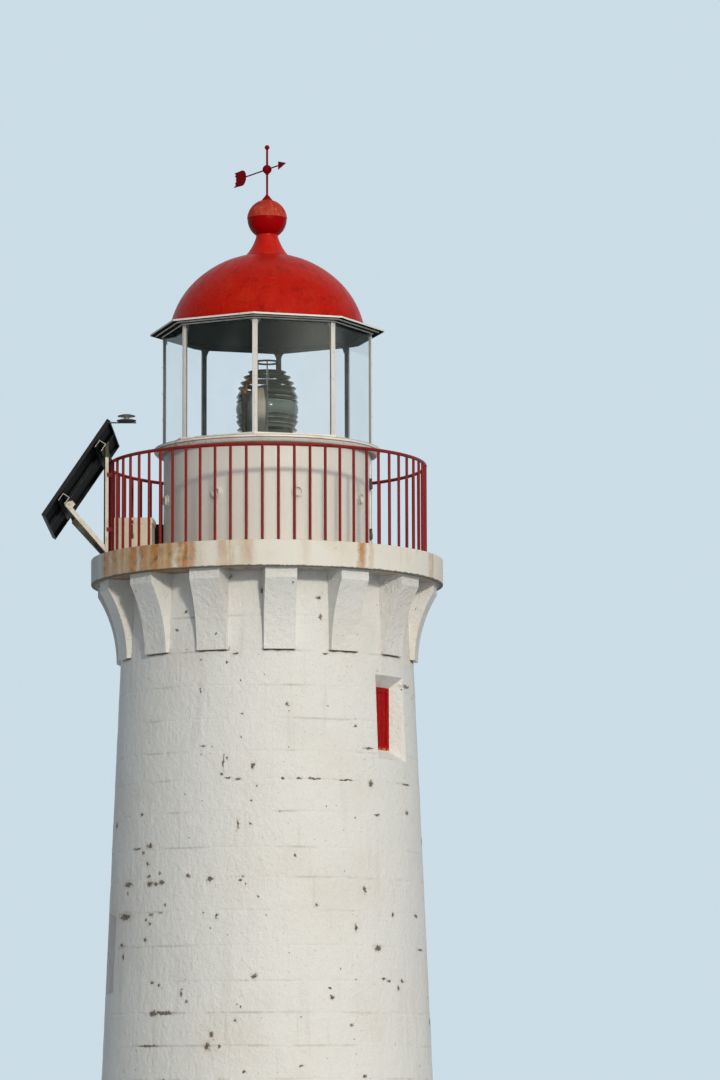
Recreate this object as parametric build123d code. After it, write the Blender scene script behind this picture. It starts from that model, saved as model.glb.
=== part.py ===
from build123d import *
import math
import os

os.makedirs("parts", exist_ok=True)

# Lighthouse on a coast: a white masonry tower with a gallery on corbels, an octagonal glazed
# lantern under a red dome, a fixed drum lens inside it, and a wind vane on the ventilator ball.
# Millimetres, +Z up, origin on the ground at the centre of the tower. The side that is seen
# first looks along +Y. Bearings are in degrees from -Y towards +X.

# How far a cut goes past the face it opens
cut_allowance = 1.0

# Tower wall
ground_radius = 1720.0
batter = 0.0419
wall_top = 6775.0
inside_radius = 990.0
wall_segments = 8
first_wall_bearing = 0.0
ground_floor_thickness = 150.0

# Window embrasures, each within one wall segment
window_bearings = (55.4, 280.4)
window_sill_heights = (4961.0, 2685.0)
embrasure_width = 496.0
embrasure_height = 830.0
window_width = 340.0
window_height = 620.0
window_sill_rise = 108.0
window_set_back = 150.0
window_frame_width = 45.0
window_frame_depth = 60.0
shutter_thickness = 24.0
shutter_set_back = 8.0

# Ground doorway, on the side away from the first view
door_bearing = 180.0
door_width = 900.0
door_spring_height = 1700.0
door_set_back = 260.0
door_frame_width = 70.0
door_frame_depth = 90.0
door_leaf_thickness = 45.0
board_width = 132.0
board_groove = 6.0

# Corbels under the gallery
corbel_count = 14
first_corbel_bearing = 4.6
corbel_width = 310.0
corbel_height = 775.0
corbel_foot_projection = 38.0
corbel_tail = 100.0
cavetto_radius = 1280.0
corbel_cap_height = 98.0

# Gallery slab
slab_radius = 1770.0
slab_thickness = 260.0
slab_edge_round = 10.0
hatch_bearing = 180.0
hatch_inner_radius = 400.0
hatch_length = 520.0
hatch_width = 560.0

# Gallery railing
rail_bays = 8
balusters_per_bay = 8
first_baluster_bearing = -1.7
rail_set_back = 174.0
baluster_diameter = 28.0
rail_height = 975.0
rail_diameter = 34.0

# Lantern base of iron plates, its cornice and kerb
base_radius = 1045.0
base_thickness = 20.0
base_height = 1060.0
base_panels = 8
cornice_inset = 40.0
cornice_reach = 97.0
cornice_round_height = 40.0
cornice_lip_height = 27.0
cornice_fillet_step = 10.0
kerb_height = 30.0
kerb_overhang = 55.0
kerb_inset = 60.0

# Round air vents in the lantern base
vent_spacing_angle = 45.0
first_vent_bearing = 16.5
vent_height = 574.0
vent_flange_radius = 66.0
vent_flange_thickness = 10.0
vent_hood_radius = 50.0
vent_hood_length = 34.0
vent_mouth_radius = 37.0
vent_mouth_depth = 24.0

# Low iron door from the lantern to the gallery
gallery_door_bearing = 98.0
gallery_door_width = 560.0
gallery_door_foot = 60.0
gallery_door_height = 950.0
gallery_door_corner = 150.0
gallery_door_lap = 35.0
gallery_door_thickness = 12.0
gallery_hinge_heights = (250.0, 760.0)
gallery_hinge_length = 110.0
gallery_hinge_radius = 14.0
hinge_pin_gap = 1.0
strap_length = 210.0
strap_height = 36.0
strap_thickness = 8.0
strap_overlap = 200.0
door_knob_radius = 19.0
door_knob_share = 0.72
door_knob_stand_off = 42.0
door_knob_height = 480.0

# Octagonal glazing
lantern_sides = 8
first_corner_bearing = -6.6
mullion_inset = 47.0
mullion_width = 52.0
mullion_depth = 66.0
glazing_height = 1138.0
pane_thickness = 8.0
bracket_reach = 30.0
bracket_height = 60.0
bracket_thickness = 14.0
bracket_seat = 2.0
bracket_hollow = 0.27

# Octagonal eave in three fascias, and the ceiling on its inner edge
eave_overhangs = (27.0, 87.0, 144.0)
eave_step_heights = (13.0, 14.0, 18.0)
eave_inset = 53.0
ceiling_thickness = 6.0
ceiling_gap = 8.0

# Dome sheet
dome_inset = 53.0
dome_rise = 913.0
dome_centre_drop = 115.0
dome_sheet = 6.0
dome_foot_reach = 24.0
dome_foot_width = 54.0
dome_foot_height = 16.0

# Ventilator neck and ball
neck_foot_radius = 222.0
neck_foot_depth = 10.0
neck_waist_radius = 148.0
neck_waist_height = 114.0
neck_radius = 112.0
neck_flare_height = 205.0
neck_sheet = 6.0
ball_radius = 203.0
ball_rise = 365.0
ball_sheet = 5.0
ball_lap = 4.0
ball_seam_rise = 6.0

# Vane spindle and vane
spindle_radius = 11.0
spindle_cone_radius = 60.0
spindle_cone_height = 62.0
spindle_cone_seat = 20.0
spindle_rise = 215.0
finial_radius = 25.0
finial_rise = 13.0
collar_radius = 18.0
collar_height = 10.0
hub_rise = 519.0
hub_radius = 46.5
hub_running_clearance = 0.06
hub_seat_gap = 0.3
vane_bearing = 31.0
vane_shaft_radius = 7.0
vane_shaft_seat = 20.0
vane_plate = 5.0
head_reach = 373.0
head_length = 153.0
head_height = 86.0
tail_reach = 655.0
tail_length = 235.0
tail_height = 160.0

# Saw edge of the tail: distance in from its rear line, share of half its height
tail_edge = (
    (6.0, 0.95), (34.0, 0.66), (14.0, 0.52), (42.0, 0.26), (30.0, 0.04),
    (44.0, -0.22), (14.0, -0.40), (32.0, -0.62), (-8.0, -0.92),
)

# Lens pedestal
pedestal_radius = 135.0
pedestal_foot_radius = 300.0
pedestal_foot_height = 34.0
pedestal_foot_slope = 60.0
pedestal_table_radius = 340.0
pedestal_table_height = 30.0
pedestal_table_slope = 90.0
pedestal_table_step = 60.0
pedestal_height = 1160.0

# Drum lens: a bull's-eye belt, stepped rings above and below it, and prism rings beyond them
focal_rise = 385.0
belt_height = 143.0
belt_edge_radius = 300.0
belt_crown = 18.0
glass_inside_radius = 262.0
step_rings = 2
step_ring_height = 50.0
step_ring_depth = 17.0
ring_gap = 1.5
upper_prisms = 4
upper_prism_angle = 36.0
upper_prism_angle_step = 9.4
upper_prism_distance = 367.0
upper_prism_distance_step = 23.5
lower_prisms = 3
lower_prism_angle = 36.0
lower_prism_angle_step = 10.0
lower_prism_distance = 378.0
lower_prism_distance_step = 8.0
prism_back = 58.0
prism_rise = 6.0
prism_drop = 35.0
prism_drop_back = 24.0

# Gunmetal frame that carries the glass: ribs between the panels, a foot ring and an open crown
lens_panels = 6
rib_thickness = 24.0
rib_cover = 4.0
lens_ring_height = 12.0
lens_crown_rise = 478.0
lens_crown_height = 14.0
lens_crown_radius = 137.0
lens_crown_inside_radius = 105.0
lens_foot_inside_radius = 150.0
crown_neck_rise = 12.0

# Domed metal screen inside the panel that has no drum glass and the panel before it
screen_radius = 256.0
screen_sheet = 3.0
screen_top_radius = 30.0
screen_low_angle = -36.0
screen_panel = 5

# Solar array on the gallery edge
array_reach_out = 123.0
array_height = 839.0
array_yaw_angle = 3.05
array_dip_angle = 5.0
array_tilt_angle = 56.5
module_width = 548.0
module_length = 1168.0
module_gap = 6.0
module_frame_depth = 38.0
module_frame_width = 12.0
laminate_thickness = 5.0
laminate_inset = 3.0
channel_width = 86.0
channel_depth = 80.0
channel_wall = 7.0
channel_length = 900.0
upper_channel_offset = 335.0
lower_channel_offset = -315.0
post_stand_off = 12.0
post_balusters = (-13, -18)
post_size = 35.0
post_turn_angle = 25.0
post_foot_reach = 50.0
post_foot_thickness = 8.0
strut_size = 58.0
strut_wall = 7.0
strut_roll_angle = 31.0
strut_foot_height = 95.0
strut_overlap = 100.0
clamp_heights = (250.0, 800.0)
clamp_height = 40.0
clamp_width = 34.0

# Small sensor on the top corner of the array: a disc, a short stem and a flat cap over it
sensor_radius = 97.0
sensor_disc_height = 30.0
sensor_stem_radius = 26.0
sensor_stem_height = 16.0
sensor_cap_radius = 88.0
sensor_cap_height = 30.0
sensor_rim = 6.0
sensor_flat_share = 0.55
sensor_arm_length = 265.0
sensor_arm_width = 40.0
sensor_arm_thickness = 9.0
sensor_arm_drop = 14.0

# Cabinet and battery box on the gallery
cabinet_base_gap = 101.5
cabinet_rail_gap = 46.5
cabinet_off_centre = 20.0
cabinet_turn_angle = -4.0
cabinet_depth = 330.0
cabinet_height = 362.0
cabinet_lid_height = 62.0
cabinet_lid_lap = 8.0
battery_bearing = -109.1
battery_turn_angle = 20.0
battery_walk_share = 0.428
battery_width_share = 0.436
battery_depth = 300.0
battery_height = 415.0

# Heights and places that follow from the sizes above
corbel_foot_height = wall_top - corbel_height
corbel_foot_radius = ground_radius - batter * corbel_foot_height + corbel_foot_projection
baluster_ring_radius = slab_radius - rail_set_back
walk_width = baluster_ring_radius - base_radius
slab_top = wall_top + slab_thickness
base_top = slab_top + base_height
cornice_inside_radius = base_radius - cornice_inset
kerb_corner_radius = base_radius + kerb_overhang
kerb_inside_corner_radius = base_radius - kerb_inset
mullion_corner_radius = kerb_corner_radius - mullion_inset
eave_corner_radii = [mullion_corner_radius + overhang for overhang in eave_overhangs]
eave_inside_corner_radius = mullion_corner_radius - eave_inset
dome_radius = mullion_corner_radius - dome_inset
dome_foot_radius = dome_radius + dome_foot_reach
ceiling_radius = dome_foot_radius - dome_foot_width - ceiling_gap
cornice_top = base_top + cornice_round_height + cornice_lip_height
kerb_top = cornice_top + kerb_height
glazing_top = kerb_top + glazing_height
eave_top = glazing_top + sum(eave_step_heights)
dome_centre = eave_top - dome_centre_drop
ball_centre_height = dome_centre + dome_rise + ball_rise
hub_height = ball_centre_height + hub_rise
spindle_top = hub_height + spindle_rise
pedestal_top = slab_top + pedestal_height
focal_height = pedestal_top + focal_rise
wall_top_radius = ground_radius - batter * wall_top
side_angle = 360.0 / lantern_sides
octagon_cosine = math.cos(math.radians(side_angle / 2))
array_centre = (-slab_radius - array_reach_out, 0.0, slab_top + array_height)
array_reach = 4 * module_length
post_x = -baluster_ring_radius - post_stand_off
cabinet_width = walk_width - cabinet_base_gap - cabinet_rail_gap
cabinet_x = -base_radius - cabinet_base_gap - cabinet_width / 2
battery_width = walk_width * battery_width_share
battery_radius = base_radius + walk_width * battery_walk_share


def outside_radius(height):
    """Radius of the tower's battered face at a height above the ground."""
    return ground_radius - batter * height


def at_bearing(shape, bearing):
    """Turn a shape that was made on the +X side round to a bearing."""
    return Rot(0, 0, bearing - 90.0) * shape


def point_at(radius, bearing, height):
    angle = math.radians(bearing)
    return (radius * math.sin(angle), -radius * math.cos(angle), height)


def turned(points, arc=360.0):
    """Solid of revolution about the Z axis from straight-sided points (radius, height)."""
    face = Plane.XZ * make_face(Polyline(*points, close=True))
    return revolve(face, Axis.Z, arc)


def ring(inside, outside, low, high):
    height = high - low
    disc = Cylinder(outside, height, align=(Align.CENTER, Align.CENTER, Align.MIN))
    if inside > 0:
        disc -= Cylinder(inside, height, align=(Align.CENTER, Align.CENTER, Align.MIN))
    return Pos(0, 0, low) * disc


def block(low, high):
    """Box from its lowest to its highest corner."""
    size = [top - bottom for bottom, top in zip(low, high)]
    return Pos(*low) * Box(*size, align=(Align.MIN, Align.MIN, Align.MIN))


def octagon(corner_radius, low, high):
    """Octagonal prism whose corners are on the lantern's mullions."""
    sketch = Rot(0, 0, first_corner_bearing - 90.0) * RegularPolygon(corner_radius, lantern_sides)
    return Pos(0, 0, low) * extrude(sketch, high - low)


def write(node, *solids):
    """Write one node's solids to its STEP file."""
    loose = [solid for shape in solids for solid in shape.solids()]
    shape = loose[0] if len(loose) == 1 else Compound(children=loose)
    export_step(shape, f"parts/{node}.step")


# Wall and its openings


def wall_body():
    profile = (
        (inside_radius, 0),
        (ground_radius, 0),
        (wall_top_radius, wall_top),
        (inside_radius, wall_top),
    )
    span = 360.0 / wall_segments
    return Rot(0, 0, -span / 2) * turned(profile, span)


def upright_rectangle(x, width, low, high):
    """Rectangle across the +X direction at a distance x."""
    plane = Plane(origin=(x, 0, (low + high) / 2), x_dir=(0, 1, 0), z_dir=(1, 0, 0))
    return plane * Rectangle(width, high - low)


def embrasure(sill):
    """Splayed recess outside the window and the straight opening behind it."""
    window_low = sill + window_sill_rise
    window_high = window_low + window_height
    face = outside_radius(sill + embrasure_height / 2)
    inner_x = face - window_set_back
    outer_x = outside_radius(sill) + cut_allowance
    growth = (outer_x - inner_x) / window_set_back
    wide = window_width + (embrasure_width - window_width) * growth
    low = window_low - window_sill_rise * growth
    high = window_high + (embrasure_height - window_height - window_sill_rise) * growth
    splay = loft([
        upright_rectangle(inner_x, window_width, window_low, window_high),
        upright_rectangle(outer_x, wide, low, high),
    ])
    through = block((0, -window_width / 2, window_low), (inner_x, window_width / 2, window_high))
    return splay + through


def window_frame(sill):
    low = sill + window_sill_rise
    high = low + window_height
    front = outside_radius(sill + embrasure_height / 2) - window_set_back
    half = window_width / 2
    outer = block((front - window_frame_depth, -half, low), (front, half, high))
    inset = window_frame_width
    hole = block(
        (front - window_frame_depth, inset - half, low + inset),
        (front, half - inset, high - inset),
    )
    return outer - hole


def window_shutter(sill):
    """Boarded leaf that closes the window inside its frame."""
    low = sill + window_sill_rise + window_frame_width
    high = sill + window_sill_rise + window_height - window_frame_width
    front = outside_radius(sill + embrasure_height / 2) - window_set_back
    half = window_width / 2 - window_frame_width
    back = front - shutter_set_back - shutter_thickness
    leaf = block((back, -half, low), (back + shutter_thickness, half, high))
    for side in (-1, 1):
        y = side * half / 3
        groove = block(
            (back + shutter_thickness - board_groove, y - board_groove / 2, low),
            (back + shutter_thickness, y + board_groove / 2, high),
        )
        leaf -= groove
    return leaf


def arched_slab(width, low, spring, back, front):
    """Upright slab across +X with a round head."""
    half = width / 2
    plane = Plane(origin=(back, 0, 0), x_dir=(0, 1, 0), z_dir=(1, 0, 0))
    legs = plane * Pos(0, (low + spring) / 2) * Rectangle(width, spring - low)
    head = plane * Pos(0, spring) * Circle(half)
    body = extrude(legs, front - back) + extrude(head, front - back)
    return body


def door_front():
    return outside_radius(door_spring_height) - door_set_back


def doorway():
    return arched_slab(
        door_width, ground_floor_thickness, door_spring_height, 0, ground_radius + cut_allowance
    )


def door_frame():
    front = door_front()
    back = front - door_frame_depth
    outer = arched_slab(door_width, ground_floor_thickness, door_spring_height, back, front)
    inner_width = door_width - 2 * door_frame_width
    return outer - arched_slab(inner_width, 0, door_spring_height, back, front)


def door_leaf():
    """Leaf of upright boards, with a groove at each joint."""
    front = door_front() - door_frame_depth / 2 + door_leaf_thickness / 2
    back = front - door_leaf_thickness
    width = door_width - 2 * door_frame_width
    leaf = arched_slab(width, ground_floor_thickness, door_spring_height, back, front)
    boards = int(width / board_width)
    for index in range(1, boards):
        y = -width / 2 + index * width / boards
        leaf -= block(
            (front - board_groove, y - board_groove / 2, 0),
            (front, y + board_groove / 2, door_spring_height + width),
        )
    return leaf


def build_tower():
    span = 360.0 / wall_segments
    for index in range(wall_segments):
        bearing = first_wall_bearing + index * span
        body = at_bearing(wall_body(), bearing)
        for window_bearing, sill in zip(window_bearings, window_sill_heights):
            if abs(bearing - window_bearing) < span / 2:
                body -= at_bearing(embrasure(sill), window_bearing)
        if abs(bearing - door_bearing) < span / 2:
            body -= at_bearing(doorway(), door_bearing)
        write(f"wall_{index + 1}", body)
    write("ground_floor", ring(0, inside_radius, 0, ground_floor_thickness))
    windows = list(zip(window_bearings, window_sill_heights))
    write("window_frames", *[at_bearing(window_frame(sill), turn) for turn, sill in windows])
    write("window_shutters", *[at_bearing(window_shutter(sill), turn) for turn, sill in windows])
    write("door_frame", at_bearing(door_frame(), door_bearing))
    write("entrance_door", at_bearing(door_leaf(), door_bearing))


# Corbels and gallery


def corbel():
    """Corbel stone with a hollow curved front under a plain cap, cut to the wall's batter."""
    cap_foot = wall_top - corbel_cap_height
    rise = cap_foot - corbel_foot_height
    reach = cavetto_radius - math.sqrt(cavetto_radius ** 2 - rise ** 2)
    half_rise = rise / 2
    half_reach = cavetto_radius - math.sqrt(cavetto_radius ** 2 - half_rise ** 2)
    cap_radius = corbel_foot_radius + reach
    foot = (corbel_foot_radius, corbel_foot_height)
    middle = (corbel_foot_radius + half_reach, corbel_foot_height + half_rise)
    back = wall_top_radius - corbel_tail
    outline = Polyline(
        (cap_radius, cap_foot),
        (cap_radius, wall_top),
        (back, wall_top),
        (back, corbel_foot_height),
        foot,
    )
    front = ThreePointArc(foot, middle, (cap_radius, cap_foot))
    face = Plane.XZ * make_face(outline + front)
    stone = extrude(face, corbel_width / 2, both=True)
    cone = Cone(ground_radius, wall_top_radius, wall_top,
                align=(Align.CENTER, Align.CENTER, Align.MIN))
    return stone - cone


def gallery_slab():
    slab = ring(0, slab_radius, wall_top, slab_top)
    edges = slab.edges().filter_by(GeomType.CIRCLE)
    slab = fillet(edges, slab_edge_round)
    hatch = block(
        (hatch_inner_radius, -hatch_width / 2, wall_top),
        (hatch_inner_radius + hatch_length, hatch_width / 2, slab_top),
    )
    return slab - at_bearing(hatch, hatch_bearing)


def rail_bay():
    """An eighth of the railing: upright bars under a round top rail."""
    span = 360.0 / rail_bays
    rail_centre = slab_top + rail_height - rail_diameter / 2
    section = Plane.XZ * Pos(baluster_ring_radius, rail_centre) * Circle(rail_diameter / 2)
    bay = Rot(0, 0, -span / 2) * revolve(section, Axis.Z, span)
    length = rail_centre - slab_top
    bar = Cylinder(baluster_diameter / 2, length, align=(Align.CENTER, Align.CENTER, Align.MIN))
    pitch = span / balusters_per_bay
    for index in range(balusters_per_bay):
        angle = (index + 0.5) * pitch - span / 2
        bay += Rot(0, 0, angle) * Pos(baluster_ring_radius, 0, slab_top) * bar
    return bay


def build_gallery():
    spacing = 360.0 / corbel_count
    stone = corbel()
    bearings = [first_corbel_bearing + index * spacing for index in range(corbel_count)]
    write("corbels", *[at_bearing(stone, bearing) for bearing in bearings])
    write("gallery_slab", gallery_slab())
    span = 360.0 / rail_bays
    pitch = span / balusters_per_bay
    first_bay_bearing = first_baluster_bearing - pitch / 2 + span / 2
    bay = rail_bay()
    bays = [at_bearing(bay, first_bay_bearing + index * span) for index in range(rail_bays)]
    write("railing_odd_bays", *bays[0::2])
    write("railing_even_bays", *bays[1::2])


# Lantern base


def gallery_door_slab(width, foot, height, inside, outside, corner):
    """Curved plate on the +X side between two radii, with round upper corners."""
    plane = Plane(origin=(0, 0, slab_top + foot + height / 2), x_dir=(0, 1, 0), z_dir=(1, 0, 0))
    outline = RectangleRounded(width, height, corner)
    foot_half = Pos(0, -height / 4) * Rectangle(width, height / 2)
    face = plane * (outline + foot_half)
    shell = ring(inside, outside, slab_top, base_top)
    return extrude(face, outside + cut_allowance) & shell


def gallery_doorway():
    return gallery_door_slab(
        gallery_door_width, gallery_door_foot, gallery_door_height,
        base_radius - base_thickness - cut_allowance, base_radius + cut_allowance, gallery_door_corner,
    )


def gallery_door():
    """Door plate that laps over the edge of its opening."""
    lap = gallery_door_lap
    return gallery_door_slab(
        gallery_door_width + 2 * lap, gallery_door_foot - lap, gallery_door_height + 2 * lap,
        base_radius, base_radius + gallery_door_thickness, gallery_door_corner + lap,
    )


def gallery_door_fittings():
    """Two strap hinges and a round knob on the gallery door."""
    outside = base_radius + gallery_door_thickness
    half_width = gallery_door_width / 2 + gallery_door_lap
    hinge_angle = math.degrees(math.asin(half_width / base_radius))
    pieces = []
    for height in gallery_hinge_heights:
        middle = slab_top + height
        band = ring(outside, outside + strap_thickness, middle - strap_height / 2,
                    middle + strap_height / 2)
        strap_angle = math.degrees(strap_length / base_radius)
        reach = base_radius + strap_overlap
        wedge = turned(
            ((cut_allowance, middle - strap_height), (reach, middle - strap_height),
             (reach, middle + strap_height), (cut_allowance, middle + strap_height)),
            strap_angle,
        )
        strap = band & (Rot(0, 0, -hinge_angle) * wedge)
        pin = Cylinder(gallery_hinge_radius, gallery_hinge_length)
        pin_radius = base_radius + gallery_hinge_radius
        pin_angle = -hinge_angle - math.degrees((gallery_hinge_radius + hinge_pin_gap) / pin_radius)
        knuckle = Rot(0, 0, pin_angle) * Pos(pin_radius, 0, middle) * pin
        pieces.append(strap + knuckle)
    stem_length = door_knob_stand_off
    stem = Cylinder(door_knob_radius / 2, stem_length, align=(Align.CENTER, Align.CENTER, Align.MIN))
    knob = stem + Pos(0, 0, stem_length) * Sphere(door_knob_radius)
    knob_angle = hinge_angle * door_knob_share
    turn = Rot(0, 0, knob_angle) * Pos(outside - cut_allowance, 0, slab_top + door_knob_height)
    placed = turn * Rot(0, 90, 0) * knob
    pieces.append(placed - ring(0, outside, slab_top, base_top))
    return pieces


def vent():
    """Round vent: a flange and a short hood with a blind mouth."""
    height = slab_top + vent_height
    flange_end = base_radius + vent_flange_thickness
    hood_end = base_radius + vent_hood_length
    profile = (
        (0, base_radius - base_thickness / 2),
        (vent_flange_radius, base_radius - base_thickness / 2),
        (vent_flange_radius, flange_end),
        (vent_hood_radius, flange_end),
        (vent_hood_radius, hood_end),
        (vent_mouth_radius, hood_end),
        (vent_mouth_radius, hood_end - vent_mouth_depth),
        (0, hood_end - vent_mouth_depth),
    )
    body = Pos(0, 0, height) * Rot(0, 90, 0) * turned(profile)
    return body - ring(0, base_radius, slab_top, base_top)


def cornice():
    """Round cornice: a quarter round under a plain lip."""
    step_radius = base_radius + cornice_fillet_step
    lip_radius = base_radius + cornice_reach
    lip_foot = base_top + cornice_round_height
    width = lip_radius - step_radius
    middle = (
        step_radius + width * math.sin(math.radians(45)),
        base_top + cornice_round_height * (1 - math.cos(math.radians(45))),
    )
    outline = Polyline(
        (lip_radius, lip_foot),
        (lip_radius, cornice_top),
        (cornice_inside_radius, cornice_top),
        (cornice_inside_radius, base_top),
        (step_radius, base_top),
    )
    curve = ThreePointArc((step_radius, base_top), middle, (lip_radius, lip_foot))
    face = Plane.XZ * make_face(outline + curve)
    return revolve(face, Axis.Z, 360)


def build_lantern_base():
    span = 360.0 / base_panels
    inside = base_radius - base_thickness
    profile = ((inside, slab_top), (base_radius, slab_top), (base_radius, base_top), (inside, base_top))
    panel = Rot(0, 0, -span / 2) * turned(profile, span)
    panels = [at_bearing(panel, gallery_door_bearing + index * span) for index in range(base_panels)]
    doorway_cut = at_bearing(gallery_doorway(), gallery_door_bearing)
    write("lantern_door_panel", panels[0] - doorway_cut)
    write("lantern_base_even_panels", *panels[2::2])
    write("lantern_base_odd_panels", *panels[1::2])
    vents = []
    for index in range(lantern_sides):
        bearing = first_vent_bearing + index * vent_spacing_angle
        if abs(bearing - gallery_door_bearing) > vent_spacing_angle / 2:
            vents.append(at_bearing(vent(), bearing))
    write("air_vents", *vents)
    write("gallery_door", at_bearing(gallery_door(), gallery_door_bearing))
    fittings = [at_bearing(piece, gallery_door_bearing) for piece in gallery_door_fittings()]
    write("gallery_door_fittings", *fittings)
    write("cornice", cornice())
    kerb = octagon(kerb_corner_radius, cornice_top, kerb_top)
    kerb -= octagon(kerb_inside_corner_radius, cornice_top, kerb_top)
    write("glazing_kerb", kerb)


# Glazing and eave


def mullion():
    """Upright post with a hollow-sided bracket inside its head."""
    inner = mullion_corner_radius - mullion_depth / 2
    half = mullion_width / 2
    post = block((inner, -half, kerb_top), (inner + mullion_depth, half, glazing_top))
    wide = half + bracket_reach
    hollow = half + bracket_reach * bracket_hollow
    waist = -bracket_height * bracket_hollow
    outline = Polyline((-wide, 0), (wide, 0)) + Polyline((half, -bracket_height), (-half, -bracket_height))
    outline += ThreePointArc((wide, 0), (hollow, waist), (half, -bracket_height))
    outline += ThreePointArc((-half, -bracket_height), (-hollow, waist), (-wide, 0))
    back = inner + bracket_seat - bracket_thickness
    plane = Plane(origin=(back, 0, glazing_top), x_dir=(0, 1, 0), z_dir=(1, 0, 0))
    return post + extrude(plane * make_face(outline), bracket_thickness)


def pane():
    """Flat pane that fills the bay between two mullions."""
    middle = mullion_corner_radius * octagon_cosine
    half = mullion_corner_radius * math.sin(math.radians(side_angle / 2))
    sheet = block(
        (middle - pane_thickness / 2, -half, kerb_top),
        (middle + pane_thickness / 2, half, glazing_top),
    )
    for side in (-1, 1):
        sheet -= Rot(0, 0, side * side_angle / 2) * mullion()
    return sheet


def eave():
    low = glazing_top
    body = None
    for corner_radius, step in zip(eave_corner_radii, eave_step_heights):
        layer = octagon(corner_radius, low, low + step)
        body = layer if body is None else body + layer
        low += step
    return body - octagon(eave_inside_corner_radius, glazing_top, eave_top)


def build_glazing():
    corners = [first_corner_bearing + index * side_angle for index in range(lantern_sides)]
    post = mullion()
    write("mullions", *[at_bearing(post, corner) for corner in corners])
    sheet = pane()
    write("lantern_panes", *[at_bearing(sheet, corner + side_angle / 2) for corner in corners])
    write("eave", eave())
    write("ceiling", ring(0, ceiling_radius, eave_top, eave_top + ceiling_thickness))


# Roof


def dome_height(radius, outside=dome_radius, rise=dome_rise):
    return dome_centre + rise * math.sqrt(1 - (radius / outside) ** 2)


def dome():
    """Ellipsoid shell on a small foot flange, open under the ventilator neck."""
    opening = neck_radius
    outer = scale(Sphere(dome_radius), by=(1, 1, dome_rise / dome_radius))
    inner_scale = (dome_rise - dome_sheet) / (dome_radius - dome_sheet)
    inner = scale(Sphere(dome_radius - dome_sheet), by=(1, 1, inner_scale))
    shell = Pos(0, 0, dome_centre) * (outer - inner)
    keep = ring(opening, dome_radius + cut_allowance, eave_top, dome_centre + dome_rise + cut_allowance)
    foot = ring(dome_foot_radius - dome_foot_width, dome_foot_radius, eave_top, eave_top + dome_foot_height)
    hollow = Pos(0, 0, dome_centre) * inner
    return (shell & keep) + (foot - hollow)


def ventilator_neck():
    """Concave collar from the dome up to the ball."""
    foot = dome_height(neck_foot_radius)
    top = ball_centre_height - math.sqrt((ball_radius - ball_lap) ** 2 - neck_radius ** 2)
    flare_top = foot + neck_flare_height
    waist = (neck_waist_radius, foot + neck_waist_height)
    curve = ThreePointArc((neck_foot_radius, foot + neck_sheet), waist, (neck_radius, flare_top))
    outline = Polyline(
        (neck_radius, flare_top),
        (neck_radius, top + neck_sheet),
        (neck_radius - neck_sheet, top + neck_sheet),
        (neck_radius - neck_sheet, foot - neck_foot_depth),
        (neck_foot_radius, foot - neck_foot_depth),
        (neck_foot_radius, foot + neck_sheet),
    )
    face = Plane.XZ * make_face(outline + curve)
    body = revolve(face, Axis.Z, 360)
    solid_dome = Pos(0, 0, dome_centre) * scale(Sphere(dome_radius), by=(1, 1, dome_rise / dome_radius))
    ball = Pos(0, 0, ball_centre_height) * Sphere(ball_radius - ball_lap)
    return body - solid_dome - ball


def ball_half(radius, upper):
    shell = Sphere(radius) - Sphere(radius - ball_sheet)
    centre = Pos(0, 0, ball_centre_height) * shell
    seam = ball_centre_height + ball_seam_rise
    if upper:
        return centre & ring(0, ball_radius + cut_allowance, seam, seam + ball_radius)
    low = ball_centre_height - ball_radius
    return centre & ring(neck_radius - neck_sheet, ball_radius + cut_allowance, low, seam)


def spindle():
    """Fixed spindle: cone foot on the ball, rod, collar under the hub, finial on top."""
    foot = ball_centre_height + math.sqrt(ball_radius ** 2 - spindle_cone_radius ** 2)
    collar_top = hub_seat() - hub_seat_gap
    profile = (
        (0, foot - spindle_cone_seat),
        (spindle_cone_radius, foot - spindle_cone_seat),
        (spindle_cone_radius, foot),
        (spindle_radius, foot + spindle_cone_height),
        (spindle_radius, collar_top - collar_height),
        (collar_radius, collar_top - collar_height),
        (collar_radius, collar_top),
        (spindle_radius, collar_top),
        (spindle_radius, spindle_top),
        (0, spindle_top),
    )
    body = turned(profile) + Pos(0, 0, spindle_top + finial_rise) * Sphere(finial_radius)
    return body - Pos(0, 0, ball_centre_height) * Sphere(ball_radius)


def hub_seat():
    """Height of the flat under the hub ball."""
    return hub_height - math.sqrt(hub_radius ** 2 - collar_radius ** 2)


def vane():
    """Hub ball with its arrow: a rod, a triangular head and a saw-edged feather."""
    hub = Sphere(hub_radius) & Pos(0, 0, hub_seat() - hub_height) * Box(
        4 * hub_radius, 4 * hub_radius, 4 * hub_radius, align=(Align.CENTER, Align.CENTER, Align.MIN)
    )
    shaft_length = head_reach - head_length + tail_reach - tail_length + vane_shaft_seat
    shaft = Rot(0, 90, 0) * Cylinder(vane_shaft_radius, shaft_length)
    shaft_middle = (head_reach - head_length - tail_reach + tail_length) / 2
    body = hub + Pos(shaft_middle, 0, 0) * shaft
    head = make_face(Polyline(
        (head_reach, 0),
        (head_reach - head_length, head_height / 2),
        (head_reach - head_length, -head_height / 2),
        close=True,
    ))
    front = tail_length - tail_reach
    half = tail_height / 2
    edge = [(inset - tail_reach, share * half) for inset, share in tail_edge]
    tail = make_face(
        Polyline((front - half, half), *edge, (front - half, -half))
        + ThreePointArc((front - half, -half), (front, 0), (front - half, half))
    )
    for face in (head, tail):
        body += extrude(Plane.XZ * face, vane_plate / 2, both=True)
    body -= Cylinder(spindle_radius + hub_running_clearance, 4 * hub_radius)
    return at_bearing(Pos(0, 0, hub_height) * body, vane_bearing)


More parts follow.
